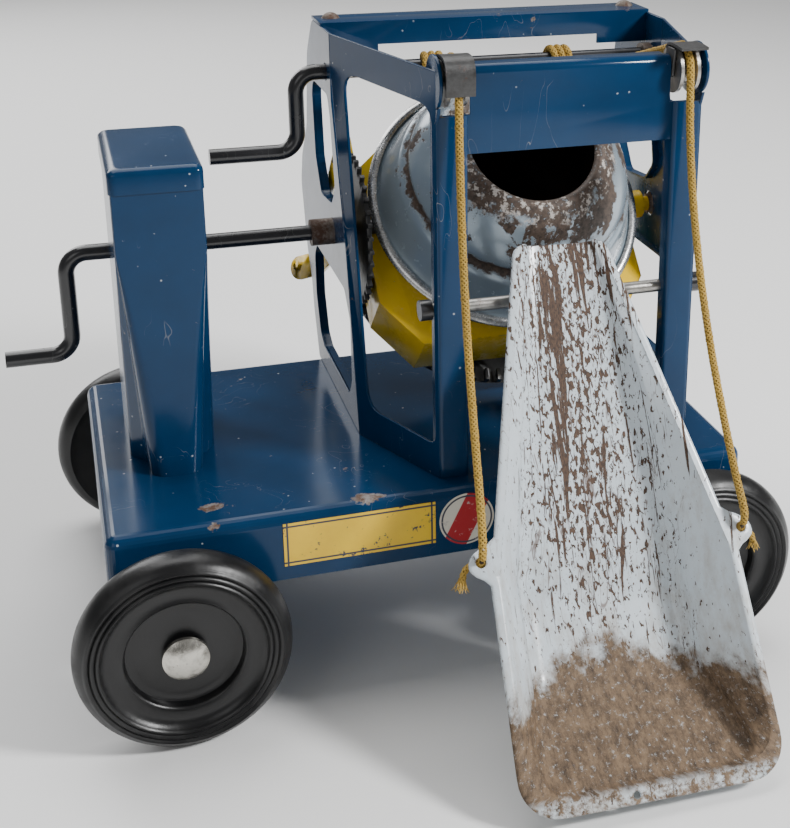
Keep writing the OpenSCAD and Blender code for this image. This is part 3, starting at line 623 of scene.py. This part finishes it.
def chute_pan():
    """The chute's pan as a sheet with both faces, its paint laid out along its surface."""
    stations = [TOP_S, TOP_S + 0.8, TOP_S + 2, TOP_S + 4, 0, 4, 8, 14, 20, 28, 36, 45, 55, 65, 75, 84, 90, 94]
    stations += [LUG_S + e[0] for e in EAR]
    stations += [116, 120, 125, 130, 136, 142, 145, 148, 152, 156, 160, 164, 168, 172, 175, 178, 180, 181.2,
                 TROUGH_END, 182.6, 183.2, 183.8, 184.4, 185.2, 186, 187, 188, 188.7, 189.2, LIP_S]
    stations = sorted(set(stations))
    rows = [chute_section(s) for s in stations]
    n = len(rows[0])
    pts = [[Vector((x, -s, z)) for x, z in row] for s, row in zip(stations, rows)]
    under = []
    for i, row in enumerate(pts):
        line = []
        for j, p in enumerate(row):
            du = row[min(j + 1, n - 1)] - row[max(j - 1, 0)]
            dv = pts[min(i + 1, len(pts) - 1)][j] - pts[max(i - 1, 0)][j]
            nrm = du.cross(dv)
            nrm = nrm.normalized() if nrm.length > 1e-5 else Vector((0, 0, 1))
            if nrm.z < 0:
                nrm = -nrm
            line.append(p - nrm * SHEET)
        under.append(line)
    rings = [top + list(reversed(bot)) for top, bot in zip(pts, under)]
    verts, faces = loft([[tuple(CHUTE @ p) for p in ring] for ring in rings])
    faces = faces[:-2]
    for base in (0, (len(rings) - 1) * 2 * n):
        faces += [(base + j, base + j + 1, base + 2 * n - 2 - j, base + 2 * n - 1 - j) for j in range(n - 1)]
    uv = []
    for s, row in zip(stations, rows):
        arc = [0.0]
        for a, b in zip(row, row[1:]):
            arc.append(arc[-1] + math.hypot(b[0] - a[0], b[1] - a[1]))
        mid = arc[-1] / 2
        line = [((a - mid) / 100, s / 100) for a in arc]
        uv += line + [(u + 3.0, v) for u, v in reversed(line)]
    ob = finish_mesh("chute_pan_sheet", verts, faces, "chute_enamel", "chute", ("chute_pan",), uv,
                     "white_enamel", 50)
    holes = [(ear_hole(-1), 1.9), (ear_hole(1), 1.9), (CHUTE @ Vector((-8, -LIP_S + 2.8, 0)), 1.3)]
    z = (CHUTE.to_3x3() @ Vector((0, 0, 1))).normalized()
    u = z.orthogonal().normalized()
    for k, (c, r) in enumerate(holes):
        cutter = bpy.data.meshes.new("cutter")
        v, f = loft([ring_round(c + z * h, u, z.cross(u), r, r, 24) for h in (-5, 5)])
        cutter.from_pydata([off(*p) for p in v], [], f)
        cut = bpy.data.objects.new("cutter", cutter)
        bpy.context.collection.objects.link(cut)
        mod = ob.modifiers.new("hole_%d" % k, "BOOLEAN")
        mod.operation = "DIFFERENCE"
        mod.solver = "EXACT"
        mod.object = cut
        bpy.context.view_layer.objects.active = ob
        bpy.context.view_layer.update()
        baked = bpy.data.meshes.new_from_object(ob.evaluated_get(bpy.context.evaluated_depsgraph_get()))
        ob.modifiers.clear()
        ob.data = baked
        bpy.data.objects.remove(cut)


def chute_enamel():
    """White enamel chipped and scratched along the pan, with dried mud in its scoop."""
    m = Mat("chute_enamel", 0.32, 0.0, 0.25, 0.15)
    uv = m.uv
    xyz = m.node("ShaderNodeSeparateXYZ", Vector=uv)
    x, s = xyz.outputs[0], xyz.outputs[1]
    ax = m.math("ABSOLUTE", x)
    dots = m.noise(m.scaled(uv, 62, 30, 1), 1.0, 5, 0.6, 0.4)
    fine = m.noise(m.scaled(uv, 150, 60, 1), 1.0, 4, 0.65, 0.3)
    streak = m.noise(m.scaled(uv, 30, 2.1, 1), 1.0, 7, 0.62, 0.5)
    streak2 = m.noise(m.scaled(uv, 17, 1.3, 1), 1.3, 8, 0.66, 0.9)
    area = m.noise(m.scaled(uv, 5, 3, 1), 1.0, 4, 0.6)
    middle = m.ramp(ax, 0.42, 0.04)
    upper = m.ramp(s, 1.55, 0.9)
    dens = m.math("MULTIPLY", m.math("MULTIPLY", middle, 0.10), m.math("ADD", upper, 0.35))
    chips = m.ramp(m.math("ADD", dots, m.math("ADD", dens, m.math("MULTIPLY", area, 0.10))), 0.685, 0.70)
    small = m.ramp(m.math("ADD", fine, m.math("MULTIPLY", dens, 0.8)), 0.715, 0.74)
    long = m.ramp(m.math("ADD", streak, m.math("MULTIPLY", dens, 1.0)), 0.672, 0.685)
    long2 = m.ramp(m.math("ADD", streak2, m.math("MULTIPLY", dens, 0.9)), 0.675, 0.685)
    hair = m.math("MULTIPLY", m.lines(m.scaled(uv, 16, 2.4, 1), 1.0, 0.010, 1.1),
                  m.ramp(m.math("ADD", area, dens), 0.50, 0.60))
    hair2 = m.math("MULTIPLY", m.lines(m.scaled(uv, 9, 3.5, 1), 1.7, 0.007, 2.2), m.ramp(area, 0.52, 0.60))
    scratch = m.any(hair, hair2)
    rim = m.edges(0.0014, 0.75, 0.95)
    rim = m.math("MULTIPLY", rim, m.ramp(m.math("ADD", dots, m.math("MULTIPLY", fine, 0.5)), 0.72, 0.80))
    bare = m.any(chips, small, long, long2, rim)
    tone = m.mix(m.noise(uv, 4, 5, 0.7), (0.52, 0.60, 0.66), (0.72, 0.78, 0.82))
    grime = m.ramp(m.math("ADD", m.noise(m.scaled(uv, 12, 6, 1), 1.0, 6, 0.7),
                          m.math("MULTIPLY", m.ramp(s, 0.6, 1.5), 0.22)), 0.60, 0.86)
    tone = m.mix(m.math("MULTIPLY", grime, 0.6), tone, (0.36, 0.31, 0.25))
    steel = m.mix(m.ramp(fine, 0.35, 0.65), (0.030, 0.018, 0.012), (0.11, 0.060, 0.035))
    col = m.mix(m.math("MULTIPLY", scratch, 0.75), tone, (0.13, 0.07, 0.045))
    col = m.mix(bare, col, steel)
    wander = m.math("MULTIPLY", m.noise(m.scaled(uv, 9, 7, 1), 1.0, 6, 0.65), 0.45)
    dirt = m.ramp(m.math("ADD", m.math("ADD", s, wander), m.math("MULTIPLY", ax, -0.35)), 1.54, 1.62)
    front = m.ramp(m.math("ADD", s, m.math("MULTIPLY", m.noise(uv, 25, 6, 0.7), 0.05)), 1.885, 1.855)
    dirt = m.math("MULTIPLY", dirt, m.math("MAXIMUM", front, m.ramp(m.noise(uv, 30, 6, 0.7), 0.42, 0.56)))
    mud = m.mix(m.ramp(m.noise(m.scaled(uv, 26, 14, 1), 1.0, 8, 0.85), 0.36, 0.62),
                (0.030, 0.018, 0.010), (0.22, 0.145, 0.085))
    mud = m.mix(m.ramp(m.noise(uv, 150, 4, 0.7), 0.62, 0.78), mud, (0.28, 0.21, 0.14))
    col = m.mix(m.math("MULTIPLY", dirt, m.ramp(m.noise(uv, 48, 7, 0.8), 0.30, 0.44)), col, mud)
    m.set("Base Color", col)
    m.set("Roughness", m.blend(m.any(bare, dirt), 0.28, 0.72))
    m.set("Coat Weight", m.blend(m.any(bare, dirt), 0.25, 0.0))
    grain = m.math("MULTIPLY", m.noise(uv, 90, 4, 0.6), 0.4)
    m.bump(m.math("ADD", m.math("MULTIPLY", bare, -1.0), grain), 0.35, 0.0003)
    return m


# ---------------------------------------------------------------- ropes
# the left rope's route from the windlass over its pulley, from the frame's middle, and each one's way down
OVER = [(-31.4, 25.6, 207.8), (-35, 0, 215.9), (-39, -27, 224.5), (-43, -53, 232.8), (-43, -55.5, 233.2),
        (-43, -58.3, 232.7), (-43, -60.8, 231.3), (-43, -62.6, 229.1), (-43, -63.6, 226.4), (-43, -63.7, 224)]
DOWN = {"left": [(-43.2, -65, 205), (-43.8, -69, 182), (-45, -77, 155), (-46.5, -88, 130), (-48.2, -101, 107),
                 (-50, -113, 90), (-51.2, -119, 81), (-51.4, -119.6, 75.4)],
        "right": [(43.2, -65, 205), (43.6, -69, 182), (44.2, -77, 155), (44.6, -88, 130), (45, -101, 107),
                  (45.2, -113, 89), (45.3, -120.6, 79), (45.2, -121.2, 73.6)]}
ROPE_R = 1.6


def rope(side):
    """A rope from the windlass to the chute, held by the frame at its pulley."""
    path = [(CX - SIDES[side] * x, y, z) for x, y, z in OVER] + [(CX + x, y, z) for x, y, z in DOWN[side]]
    ob = cord_piece("rope_%s_braid" % side, [braid(path, ROPE_R)], "chassis", ("rope_" + side,), True)
    tuple(off(*path[-1]))
    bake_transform(ob)


def knot(side):
    """The knot under the chute's ear, with its frayed ends."""
    sx = SIDES[side]
    hole = ear_hole(sx)
    z = (CHUTE.to_3x3() @ Vector((0, 0, 1))).normalized()
    x = (CHUTE.to_3x3() @ Vector((1, 0, 0))).normalized()
    y = z.cross(x)
    c = hole - z * 4.2
    loop = []
    for i in range(13):
        a = 2 * math.pi * i / 12
        p = (math.sin(a) + 2 * math.sin(2 * a), math.cos(a) - 2 * math.cos(2 * a), -math.sin(3 * a))
        loop.append(tuple(c + (x * p[0] + y * p[1]) * 0.75 + z * p[2] * 1.0))
    parts = [braid([tuple(hole + z * 1.0), tuple(hole - z * 1.6)] + loop, 1.25)]
    tail = [c, c + x * sx * 2.5 - z * 1.5, c + x * sx * 5.2 - z * 0.8 - y * 2,
            c + x * sx * 6 - z * 1.5 - y * 5]
    parts.append(braid([tuple(q) for q in tail], 1.3))
    rng = random.Random(5 if side == "left" else 6)
    for _ in range(26):
        d = x * sx * rng.uniform(-0.3, 0.6) - y * rng.uniform(0.5, 1.2) - z * rng.uniform(-0.4, 0.6)
        d.normalize()
        e = (d + Vector((rng.uniform(-0.7, 0.7), rng.uniform(-0.7, 0.7), -0.7))).normalized()
        length = rng.uniform(2.0, 3.4)
        start = tail[-1] + y * 1.5 + x * rng.uniform(-0.8, 0.8)
        bend = start + d * length
        curve = smooth_path([start, bend, bend + e * length * 0.8], 0.5)
        rings = []
        for i, q in enumerate(curve):
            hair = 0.28 - 0.2 * i / len(curve)
            rings.append(ring_round(q, x, y, hair, hair, 4))
        parts.append((loft(rings), 0))
    cord_piece("rope_knot_%s_tied" % side, parts, "chute", ("rope_knot_" + side,))


def winding(side):
    """Turns of rope on the windlass shaft."""
    sx = SIDES[side]
    r = 3.15 + ROPE_R * 0.93
    path = []
    for i in range(40):
        a = 2 * math.pi * i / 13
        x = 27 + 3.1 * (i / 13 - 1.5) * 0.98
        path.append((CX + sx * x, WINDLASS_Y + r * math.sin(a), WINDLASS_Z - r * math.cos(a)))
    cord_piece("winding_%s_turns" % side, [braid(path, ROPE_R)], "windlass", ("winding_" + side,))


# ---------------------------------------------------------------- frame
# a side sheet's outline, its two windows and the fold along its front, as (y, height above the deck);
# the fold's rows are (height, y)
SIDE = [(-14, 0), (70, 0), (79, 20), (82, 34), (90, 45), (99.5, 74), (94, 88), (80, 104), (72, 138),
        (58, 153.8), (22, 153.8), (22, 128), (2, 72)]
UPPER = [(60, 128), (30, 128), (26, 120), (20, 92), (28, 84), (50, 82), (60, 96), (63, 122)]
LOWER = [(8, 54), (66, 54), (71, 48), (71, 30), (64, 14), (56, 10), (4, 10), (-2, 18), (-2, 44)]
BEND = [(0, -14), (72, 2), (141, 22), (155, 22)]


def circle(y, z, r, n=32):
    return [(y + r * math.cos(2 * math.pi * i / n), z + r * math.sin(2 * math.pi * i / n)) for i in range(n)]


def frame(side):
    """One side of the frame: its side sheet, the slanting front facet, the post and the pulley's leg."""
    sx = SIDES[side]

    def on_side(u, v, w):
        return (CX + sx * (SIDE_X - T / 2 + w), u, DECK + v)

    def on_facet(u, v, w):
        b = Vector((SIDE_X - T / 2, lookup(v, BEND), v))
        p = Vector((POST_X - T / 2, -59.4, v))
        q = b.lerp(p, u / 60)
        n = Vector((-(p.y - b.y), p.x - b.x, 0)).normalized()
        q += n * (w if n.x > 0 else -w)
        return (CX + sx * q.x, q.y, DECK + v)

    upper, lower = rounded(UPPER, 5), rounded(LOWER, 6)
    outline = rounded(SIDE, [1, 2, 8, 8, 12, 10, 10, 12, 14, 10, 1, 1, 1])
    bores = [circle(PIVOT_Y, PIVOT_Z - DECK, 5.4), circle(WINDLASS_Y, WINDLASS_Z - DECK, 3.5)]
    parts = [plate(outline, [upper, lower] + bores, T, on_side)]
    for loop in (upper, lower):
        parts.append(turned_edge(loop, -3.2, 0.9, on_side))
    window = rounded([(8, 13), (8, 141), (57.5, 141), (57.5, 13)], [9, 9, 7, 5])
    edge = [(0, 0)] + [(0, v) for v in (36, 72, 106, 141, 153.8)] + [(60, 153.8), (60, 0)]
    parts.append(plate(edge, [window], T, on_facet))
    channel = rounded([(POST_X - 11.5, -53.6), (POST_X - 11.5, -60), (POST_X, -60), (POST_X, -51.2)],
                      1.8, 5, False)
    ring = channel + list(reversed(inset_open(channel, T)))
    parts.append(loft([[(CX + sx * x, y, DECK + h) for x, y in ring] for h in (0, 137.9)]))
    eye = circle(PIN_Y, PIN_Z - DECK, 9.5, 40)
    leg = [(-59.6, 136), (-51.2, 136), (-48.5, 140)] + eye[36:] + eye[:29] + [(-62, 141.5)]

    def on_leg(u, v, w):
        return (CX + sx * (POST_X - T / 2 + w), u, DECK + v)

    parts.append(plate(leg, [circle(PIN_Y, PIN_Z - DECK, PIN_R, 16)], T, on_leg))
    finish_mesh("frame_%s_sheet" % side, *joined(*parts), "blue_paint", "chassis", ("frame_" + side,))


def inset_open(line, d):
    """The open line moved d to its left."""
    out = []
    for i, p in enumerate(line):
        a, b = Vector(line[max(i - 1, 0)]), Vector(line[min(i + 1, len(line) - 1)])
        t = (b - a).normalized()
        out.append((p[0] - t.y * d, p[1] + t.x * d))
    return out


def hood(side):
    """A strap bent over the pulley; the left one also covers its front."""
    sx = SIDES[side]
    half = 5.2
    top = [(-52.5, 232.4), (-54, 233.9), (-57, 234.7), (-62, 234.6)]
    apron = [(-65.2, 233.2), (-66.7, 230), (-66.9, 226), (-66.7, 221.6)]
    line = top + (apron if sx < 0 else [(-66.8, 234.2)])
    curve = [(q.x, q.y) for q in smooth_path([(*p, 0) for p in line], 0.8)]
    sheet = curve + list(reversed(inset_open(curve, 1.0)))
    parts = [loft([[(CX + sx * PULLEY_X + x, y, z) for y, z in sheet] for x in (-half, half)])]
    for s in (-1, 1):
        cheek = [(-59.3, 222.2), (-59.3, 226), (-60.5, 233), (-53.5, 233), (-51.7, 226), (-51.7, 222.2)]

        def place(u, v, w, s=s):
            return (CX + sx * PULLEY_X + s * (half - 0.5) + w, u, v)

        parts.append(plate(rounded(cheek, [3, 2, 1, 1, 2, 3]), [circle(PIN_Y, PIN_Z, PIN_R, 16)], 0.9, place))
    finish_mesh("pulley_hood_%s_strap" % side, *joined(*parts), "dark_steel", "chassis",
                ("pulley_hood_" + side,))


def wheel(name, sx, sy):
    """A rubber wheel of radius r, h each side of its middle, with ridges round its outer face."""
    r, h = WHEEL_R, 7.5
    line = [(2.5, -h + 1.5), (29.5, -h + 1.5), (32.5, -h)]
    for a in [math.radians(deg) for deg in range(-66, 67, 12)]:
        line.append((r - 5.2 + 5.2 * math.cos(a), 7.2 * math.sin(a) - 0.1))
    for ridge in (34.2, 32.2, 30.2):
        line += [(ridge - 0.15, h - 0.75), (ridge - 0.45, h - 0.15), (ridge - 0.9, h + 0.08),
                 (ridge - 1.35, h - 0.15)]
    line += [(28.4, h - 0.8), (27.6, h - 2.2), (25.5, h - 3.1), (23.4, h - 3.2), (21.8, h - 2.7),
             (21.1, h - 2.4), (20.6, h - 2.7), (20.3, h - 3.4), (20, h - 5.9), (19.4, h - 6.3), (17, h - 6.3),
             (12, h - 5.6), (8, h - 4.9), (2.5, h - 4.6)]
    verts, faces = lathe(line, (sx * WHEEL_X, sy * WHEEL_Y, r), (0, sy, 0))
    finish_mesh(name + "_tyre", verts, faces, "black_rubber", name, (name,), angle=40)


# ---------------------------------------------------------------- engine housing
def engine():
    """The fluted housing, its flutes fading out towards the top, and the flat cap over it."""
    cx, cy, w, d = -91.75, 3.5, 16.0, 31.5
    rings = []
    for h in [0, 2, 5, 9, 14, 20, 27, 34, 42, 50, 58, 66, 73, 79, 84, 88, 92, 104, 112]:
        u = max(0.02, min(1.0, (88 - h) / 88)) ** 0.8
        fx, side_y, notch_y = 5.6 * u, 22 * u, 15 * u
        poly = [(-w, d), (-w, -d + side_y), (-w + fx, -d + notch_y), (-w + fx * 1.25, -d),
                (w - fx * 1.25, -d), (w - fx, -d + notch_y), (w, -d + side_y), (w, d)]
        bulge, lobe = lerp(1.2, 7, u), lerp(2.2, 7, u)
        ring = rounded(poly, [3, lobe, 3 * u + 0.5, bulge, bulge, 3 * u + 0.5, lobe, 3], 7)
        rings.append([(cx + x, cy + y, DECK + h) for x, y in ring])
    finish_mesh("engine_housing_sheet", *loft(rings), "blue_paint", "chassis", ("engine_housing",), angle=75)
    rings = []
    for h, g, r in ((-8, 0.6, 3.5), (-1.6, 0.6, 3.5), (-0.8, 0.45, 3.4), (-0.1, -0.1, 3.2),
                    (0.55, -0.9, 2.8), (0.95, -2.0, 2.4), (1.0, -3.2, 2)):
        ring = rounded([(-w - g, d + g), (-w - g, -d - g), (w + g, -d - g), (w + g, d + g)], r, 6)
        rings.append([(cx + x, cy + y, DECK + 118 + h) for x, y in ring])
    finish_mesh("engine_cap_sheet", *loft(rings), "blue_paint", "chassis", ("engine_cap",), angle=60)


# ---------------------------------------------------------------- drum
AXIS_A = math.radians(44)
DRUM_AXIS = (0, -math.cos(AXIS_A), math.sin(AXIS_A))
PIVOT = (CX, PIVOT_Y, PIVOT_Z)
# (radius, distance along the axis) down the outside and back up the inside of each half
FRONT = [(54.2, 14.4), (53.2, 14.7), (52.4, 16), (51.6, 19), (50.5, 23), (49.2, 28), (48, 32), (46.9, 35.4),
         (45.6, 36.3), (44.7, 37.3), (44.2, 38.6), (44.4, 40), (44.8, 41), (44.4, 42.4), (43, 45.8),
         (40.6, 50), (38, 53.8), (35.3, 57), (32.8, 59.6), (30.6, 61.4), (29, 62.5), (27.8, 62.95),
         (26.6, 62.9), (25.6, 62.4), (25.05, 61.4), (25.4, 60.5), (26.4, 60.1), (28, 60.4), (30.2, 60)]
INNER = [(34.4, 56.1), (37.2, 52.9), (39.8, 49.2), (42.2, 45), (43.4, 42), (43.4, 39.8), (43.2, 38.4),
         (43.7, 36.6), (44.6, 35.5), (45.9, 34.6), (47, 31.6), (48.2, 27.6), (49.5, 22.6), (50.6, 18.6),
         (51.8, 14.3)]
REAR = [(54.2, 13.6), (53.2, 13.3), (52.2, 12.4), (50.6, 10.6), (49.7, 8.6), (49.3, 4), (49.1, 0), (48.7, -5),
        (47.7, -9.6), (45.7, -13.8), (43, -17), (39.8, -19.2), (36, -20), (2.6, -20)]
REAR_INNER = [(2.6, -19.1), (35.8, -19.1), (39.3, -18.3), (42.3, -16.3), (44.9, -13.3), (46.8, -9.3),
              (47.8, -4.8), (48.2, 0), (48.4, 4), (48.8, 8.7), (49.8, 11.2), (51.6, 13.2), (51.8, 13.9)]


def drum():
    """Both halves of the drum, dark on the inside, and the rolled band over their joint."""
    for name, line, inside in (("front", FRONT + INNER, len(FRONT) - 3),
                               ("rear", REAR + REAR_INNER, len(REAR) - 1)):
        verts, faces = lathe(line, PIVOT, DRUM_AXIS)
        dark = [i for i in range(len(faces)) if i % len(line) >= inside]
        finish_mesh("drum_%s_shell" % name, verts, faces, "drum_front_silver", "drum", ("drum_" + name,),
                    slot="drum_silver", angle=50, second=("drum_inside", dark))
    band = [(53.6, 12.4), (54.6, 12.2), (55.6, 12.4), (56.5, 12.9), (57, 13.6), (57, 14.4), (56.5, 15.1),
            (55.6, 15.6), (54.6, 15.8), (53.6, 15.6), (53.5, 14.8), (54.15, 14.6), (54.15, 13.4),
            (53.5, 13.2)]
    finish_mesh("drum_band_rolled", *lathe(band, PIVOT, DRUM_AXIS), "bright_steel", "drum", ("drum_band",))


def drum_front_silver():
    """Silver enamel, worn to brown in the groove, near the mouth and in patches."""
    m = Mat("drum_front_silver", 0.25, 0.25, 0.35, 0.12)
    o = m.obj
    p = off(*PIVOT)
    d = Vector(DRUM_AXIS)
    along = m.nt.nodes.new("ShaderNodeVectorMath")
    along.operation = "DOT_PRODUCT"
    m.nt.links.new(o, along.inputs[0])
    along.inputs[1].default_value = d
    s = m.math("SUBTRACT", along.outputs["Value"], p.dot(d))
    big = m.noise(o, 45, 6, 0.65)
    mid = m.noise(o, 160, 6, 0.7)
    fine = m.noise(o, 520, 5, 0.7)
    rough_edge = m.math("MULTIPLY", m.math("SUBTRACT", mid, 0.5), 0.009)
    s2 = m.math("ADD", s, rough_edge)
    groove = m.ramp(m.math("ABSOLUTE", m.math("SUBTRACT", s2, 0.0385)), 0.0028, 0.0020)
    groove = m.math("MULTIPLY", groove, m.ramp(big, 0.36, 0.44))
    lip = m.ramp(m.math("ADD", s, m.math("MULTIPLY", m.math("SUBTRACT", mid, 0.5), 0.022)), 0.0565, 0.0595)
    patch = m.ramp(m.math("ADD", m.math("ADD", m.math("MULTIPLY", big, 0.6), m.math("MULTIPLY", mid, 0.4)),
                          m.math("MULTIPLY", m.ramp(s, 0.038, 0.056), 0.085)), 0.575, 0.59)
    dots = m.ramp(fine, 0.70, 0.72)
    bare = m.any(groove, m.math("MULTIPLY", lip, m.ramp(fine, 0.34, 0.42)), patch, dots)
    tone = m.mix(m.noise(o, 30, 5, 0.6), (0.26, 0.33, 0.39), (0.38, 0.45, 0.50))
    steel = m.mix(m.ramp(fine, 0.35, 0.65), (0.030, 0.020, 0.015), (0.11, 0.075, 0.055))
    col = m.mix(bare, tone, steel)
    glint = m.math("MULTIPLY", m.ramp(s, 0.056, 0.06), m.ramp(m.noise(o, 330, 5, 0.7), 0.54, 0.60))
    col = m.mix(glint, col, (0.50, 0.46, 0.42))
    m.set("Base Color", col)
    m.set("Metallic", m.blend(bare, 0.35, 0.1))
    m.set("Roughness", m.blend(bare, m.blend(mid, 0.16, 0.34), 0.55))
    m.set("Coat Weight", m.blend(bare, 0.35, 0.0))
    m.bump(m.math("ADD", m.math("MULTIPLY", bare, -1.0), m.math("MULTIPLY", mid, 0.4)), 0.3, 0.0003)
    return m


# ---------------------------------------------------------------- label and badge
def label_paper(name, badge):
    """Plain worn paper: a yellow band with a border line, or a red disc with a pale stripe and a ring."""
    m = Mat(name, 0.35, 0.0, 0.2, 0.2)
    o = m.obj
    xyz = m.node("ShaderNodeSeparateXYZ", Vector=o)
    x, z = xyz.outputs[0], xyz.outputs[2]
    rubbed = m.math("MULTIPLY", m.noise(o, 130, 6, 0.7), 0.6)
    wear = m.ramp(m.math("ADD", rubbed, m.math("MULTIPLY", m.noise(o, 600, 4, 0.7), 0.4)), 0.585, 0.60)
    if badge:
        c = off(8, 0, DECK - 12.5)
        dx, dz = m.math("SUBTRACT", x, c.x), m.math("SUBTRACT", z, c.z)
        r = m.math("SQRT", m.math("ADD", m.math("MULTIPLY", dx, dx), m.math("MULTIPLY", dz, dz)))
        slant = m.math("ABSOLUTE", m.math("ADD", dx, m.math("MULTIPLY", dz, -0.5)))
        col = m.mix(m.ramp(slant, 0.0050, 0.0051), (0.42, 0.006, 0.012), (0.70, 0.66, 0.56))
        ring = m.math("MULTIPLY", m.ramp(r, 0.0091, 0.0092), m.ramp(r, 0.0099, 0.0098))
        col = m.mix(ring, col, (0.03, 0.035, 0.06))
        col = m.mix(wear, col, (0.55, 0.50, 0.45))
    else:
        c = off(-32, 0, DECK - 12)
        ax = m.math("ABSOLUTE", m.math("SUBTRACT", x, c.x))
        az = m.math("ABSOLUTE", m.math("SUBTRACT", z, c.z))
        tone = m.mix(m.noise(o, 160, 6, 0.7), (0.74, 0.44, 0.006), (0.90, 0.60, 0.012))
        line = m.any(m.math("MULTIPLY", m.ramp(az, 0.0068, 0.0069), m.ramp(az, 0.0076, 0.0075)),
                     m.math("MULTIPLY", m.ramp(ax, 0.0262, 0.0263), m.ramp(ax, 0.0270, 0.0269)))
        col = m.mix(line, tone, (0.02, 0.025, 0.05))
        col = m.mix(wear, col, (0.02, 0.03, 0.06))
    m.set("Base Color", col)
    m.bump(wear, 0.2, 0.0002)
    return m


def sheet_pieces():
    for node in ("front_beam", "rear_crossbeam"):
        softened(node, "chassis", "blue_paint", 0.5)
    softened("cradle_pan", "cradle", "yellow_paint", 0.9, segments=3)
    softened("tilt_lever", "cradle", "yellow_paint", 0.5)
    softened("drive_gear", "crank", "dark_steel", 0.2)
    softened("crown_wheel", "drum", "dark_steel", 0.2)


MATS["chute_enamel"] = chute_enamel()
MATS["drum_front_silver"] = drum_front_silver()
MATS["label"] = label_paper("label", False)
MATS["badge"] = label_paper("badge", True)

for entry in ROW["record"]["subparts"]:
    ob = NODES[entry["node"]]
    ob.data.materials.clear()
    ob.data.materials.append(MATS[entry["material_slot"]].mat)

chute_pan()
for side in SIDES:
    rope(side)
    knot(side)
    winding(side)
    frame(side)
    hood(side)
    for end, sy in (("front", -1), ("rear", 1)):
        wheel("wheel_%s_%s" % (end, side), SIDES[side], sy)
engine()
drum()
sheet_pieces()

# ---------------------------------------------------------------- stage
def stage():
    """The paper the toy stands on, the room's light and four lamps (place, size in m, power in W)."""
    bpy.ops.mesh.primitive_plane_add(size=8, location=(0, 0, 0))
    floor = bpy.context.object
    floor.name = "floor"
    m = Mat("floor_paper", 0.85)
    m.set("Base Color", m.mix(m.noise(m.obj, 3, 3), (0.90, 0.90, 0.90), (0.93, 0.93, 0.92)))
    floor.data.materials.append(m.mat)
    world = bpy.data.worlds.new("studio")
    bpy.context.scene.world = world
    world.use_nodes = True
    bg = world.node_tree.nodes["Background"]
    bg.inputs["Color"].default_value = (1, 1, 1, 1)
    bg.inputs["Strength"].default_value = 0.22
    for name, loc, size, power in (("top", (0.0, 0.6, 1.5), 1.3, 20), ("key", (0.85, -0.70, 0.85), 0.22, 21),
                                   ("back", (-0.5, 1.4, 0.9), 0.8, 10), ("fill", (-0.9, -1.0, 0.9), 0.7, 2)):
        data = bpy.data.lights.new(name, "AREA")
        data.size = size
        data.energy = power
        ob = bpy.data.objects.new(name, data)
        bpy.context.collection.objects.link(ob)
        ob.location = loc
        ob.rotation_euler = (Vector((0, 0, 0.11)) - Vector(loc)).to_track_quat("-Z", "Y").to_euler()


def camera():
    """The photo's viewpoint, as fitted to the tray, the wheels and the frame's posts."""
    yaw, pitch, roll = math.radians(18.91), math.radians(19.27), math.radians(0.71)
    f = Vector((math.sin(yaw) * math.cos(pitch), math.cos(yaw) * math.cos(pitch), -math.sin(pitch)))
    r = Vector((math.cos(yaw), -math.sin(yaw), 0))
    u = r.cross(f)
    r2 = math.cos(roll) * r + math.sin(roll) * u
    u2 = -math.sin(roll) * r + math.cos(roll) * u
    data = bpy.data.cameras.new("camera")
    data.lens = 62.09
    data.sensor_width = 36
    data.shift_x, data.shift_y = -0.1625, -0.1783
    data.clip_start, data.clip_end = 0.02, 20
    cam = bpy.data.objects.new("camera", data)
    bpy.context.collection.objects.link(cam)
    m = Matrix((r2, u2, -f)).transposed().to_4x4()
    m.translation = off(-123.4, -522.1, 327.0)
    cam.matrix_world = m
    bpy.context.scene.camera = cam


stage()
camera()
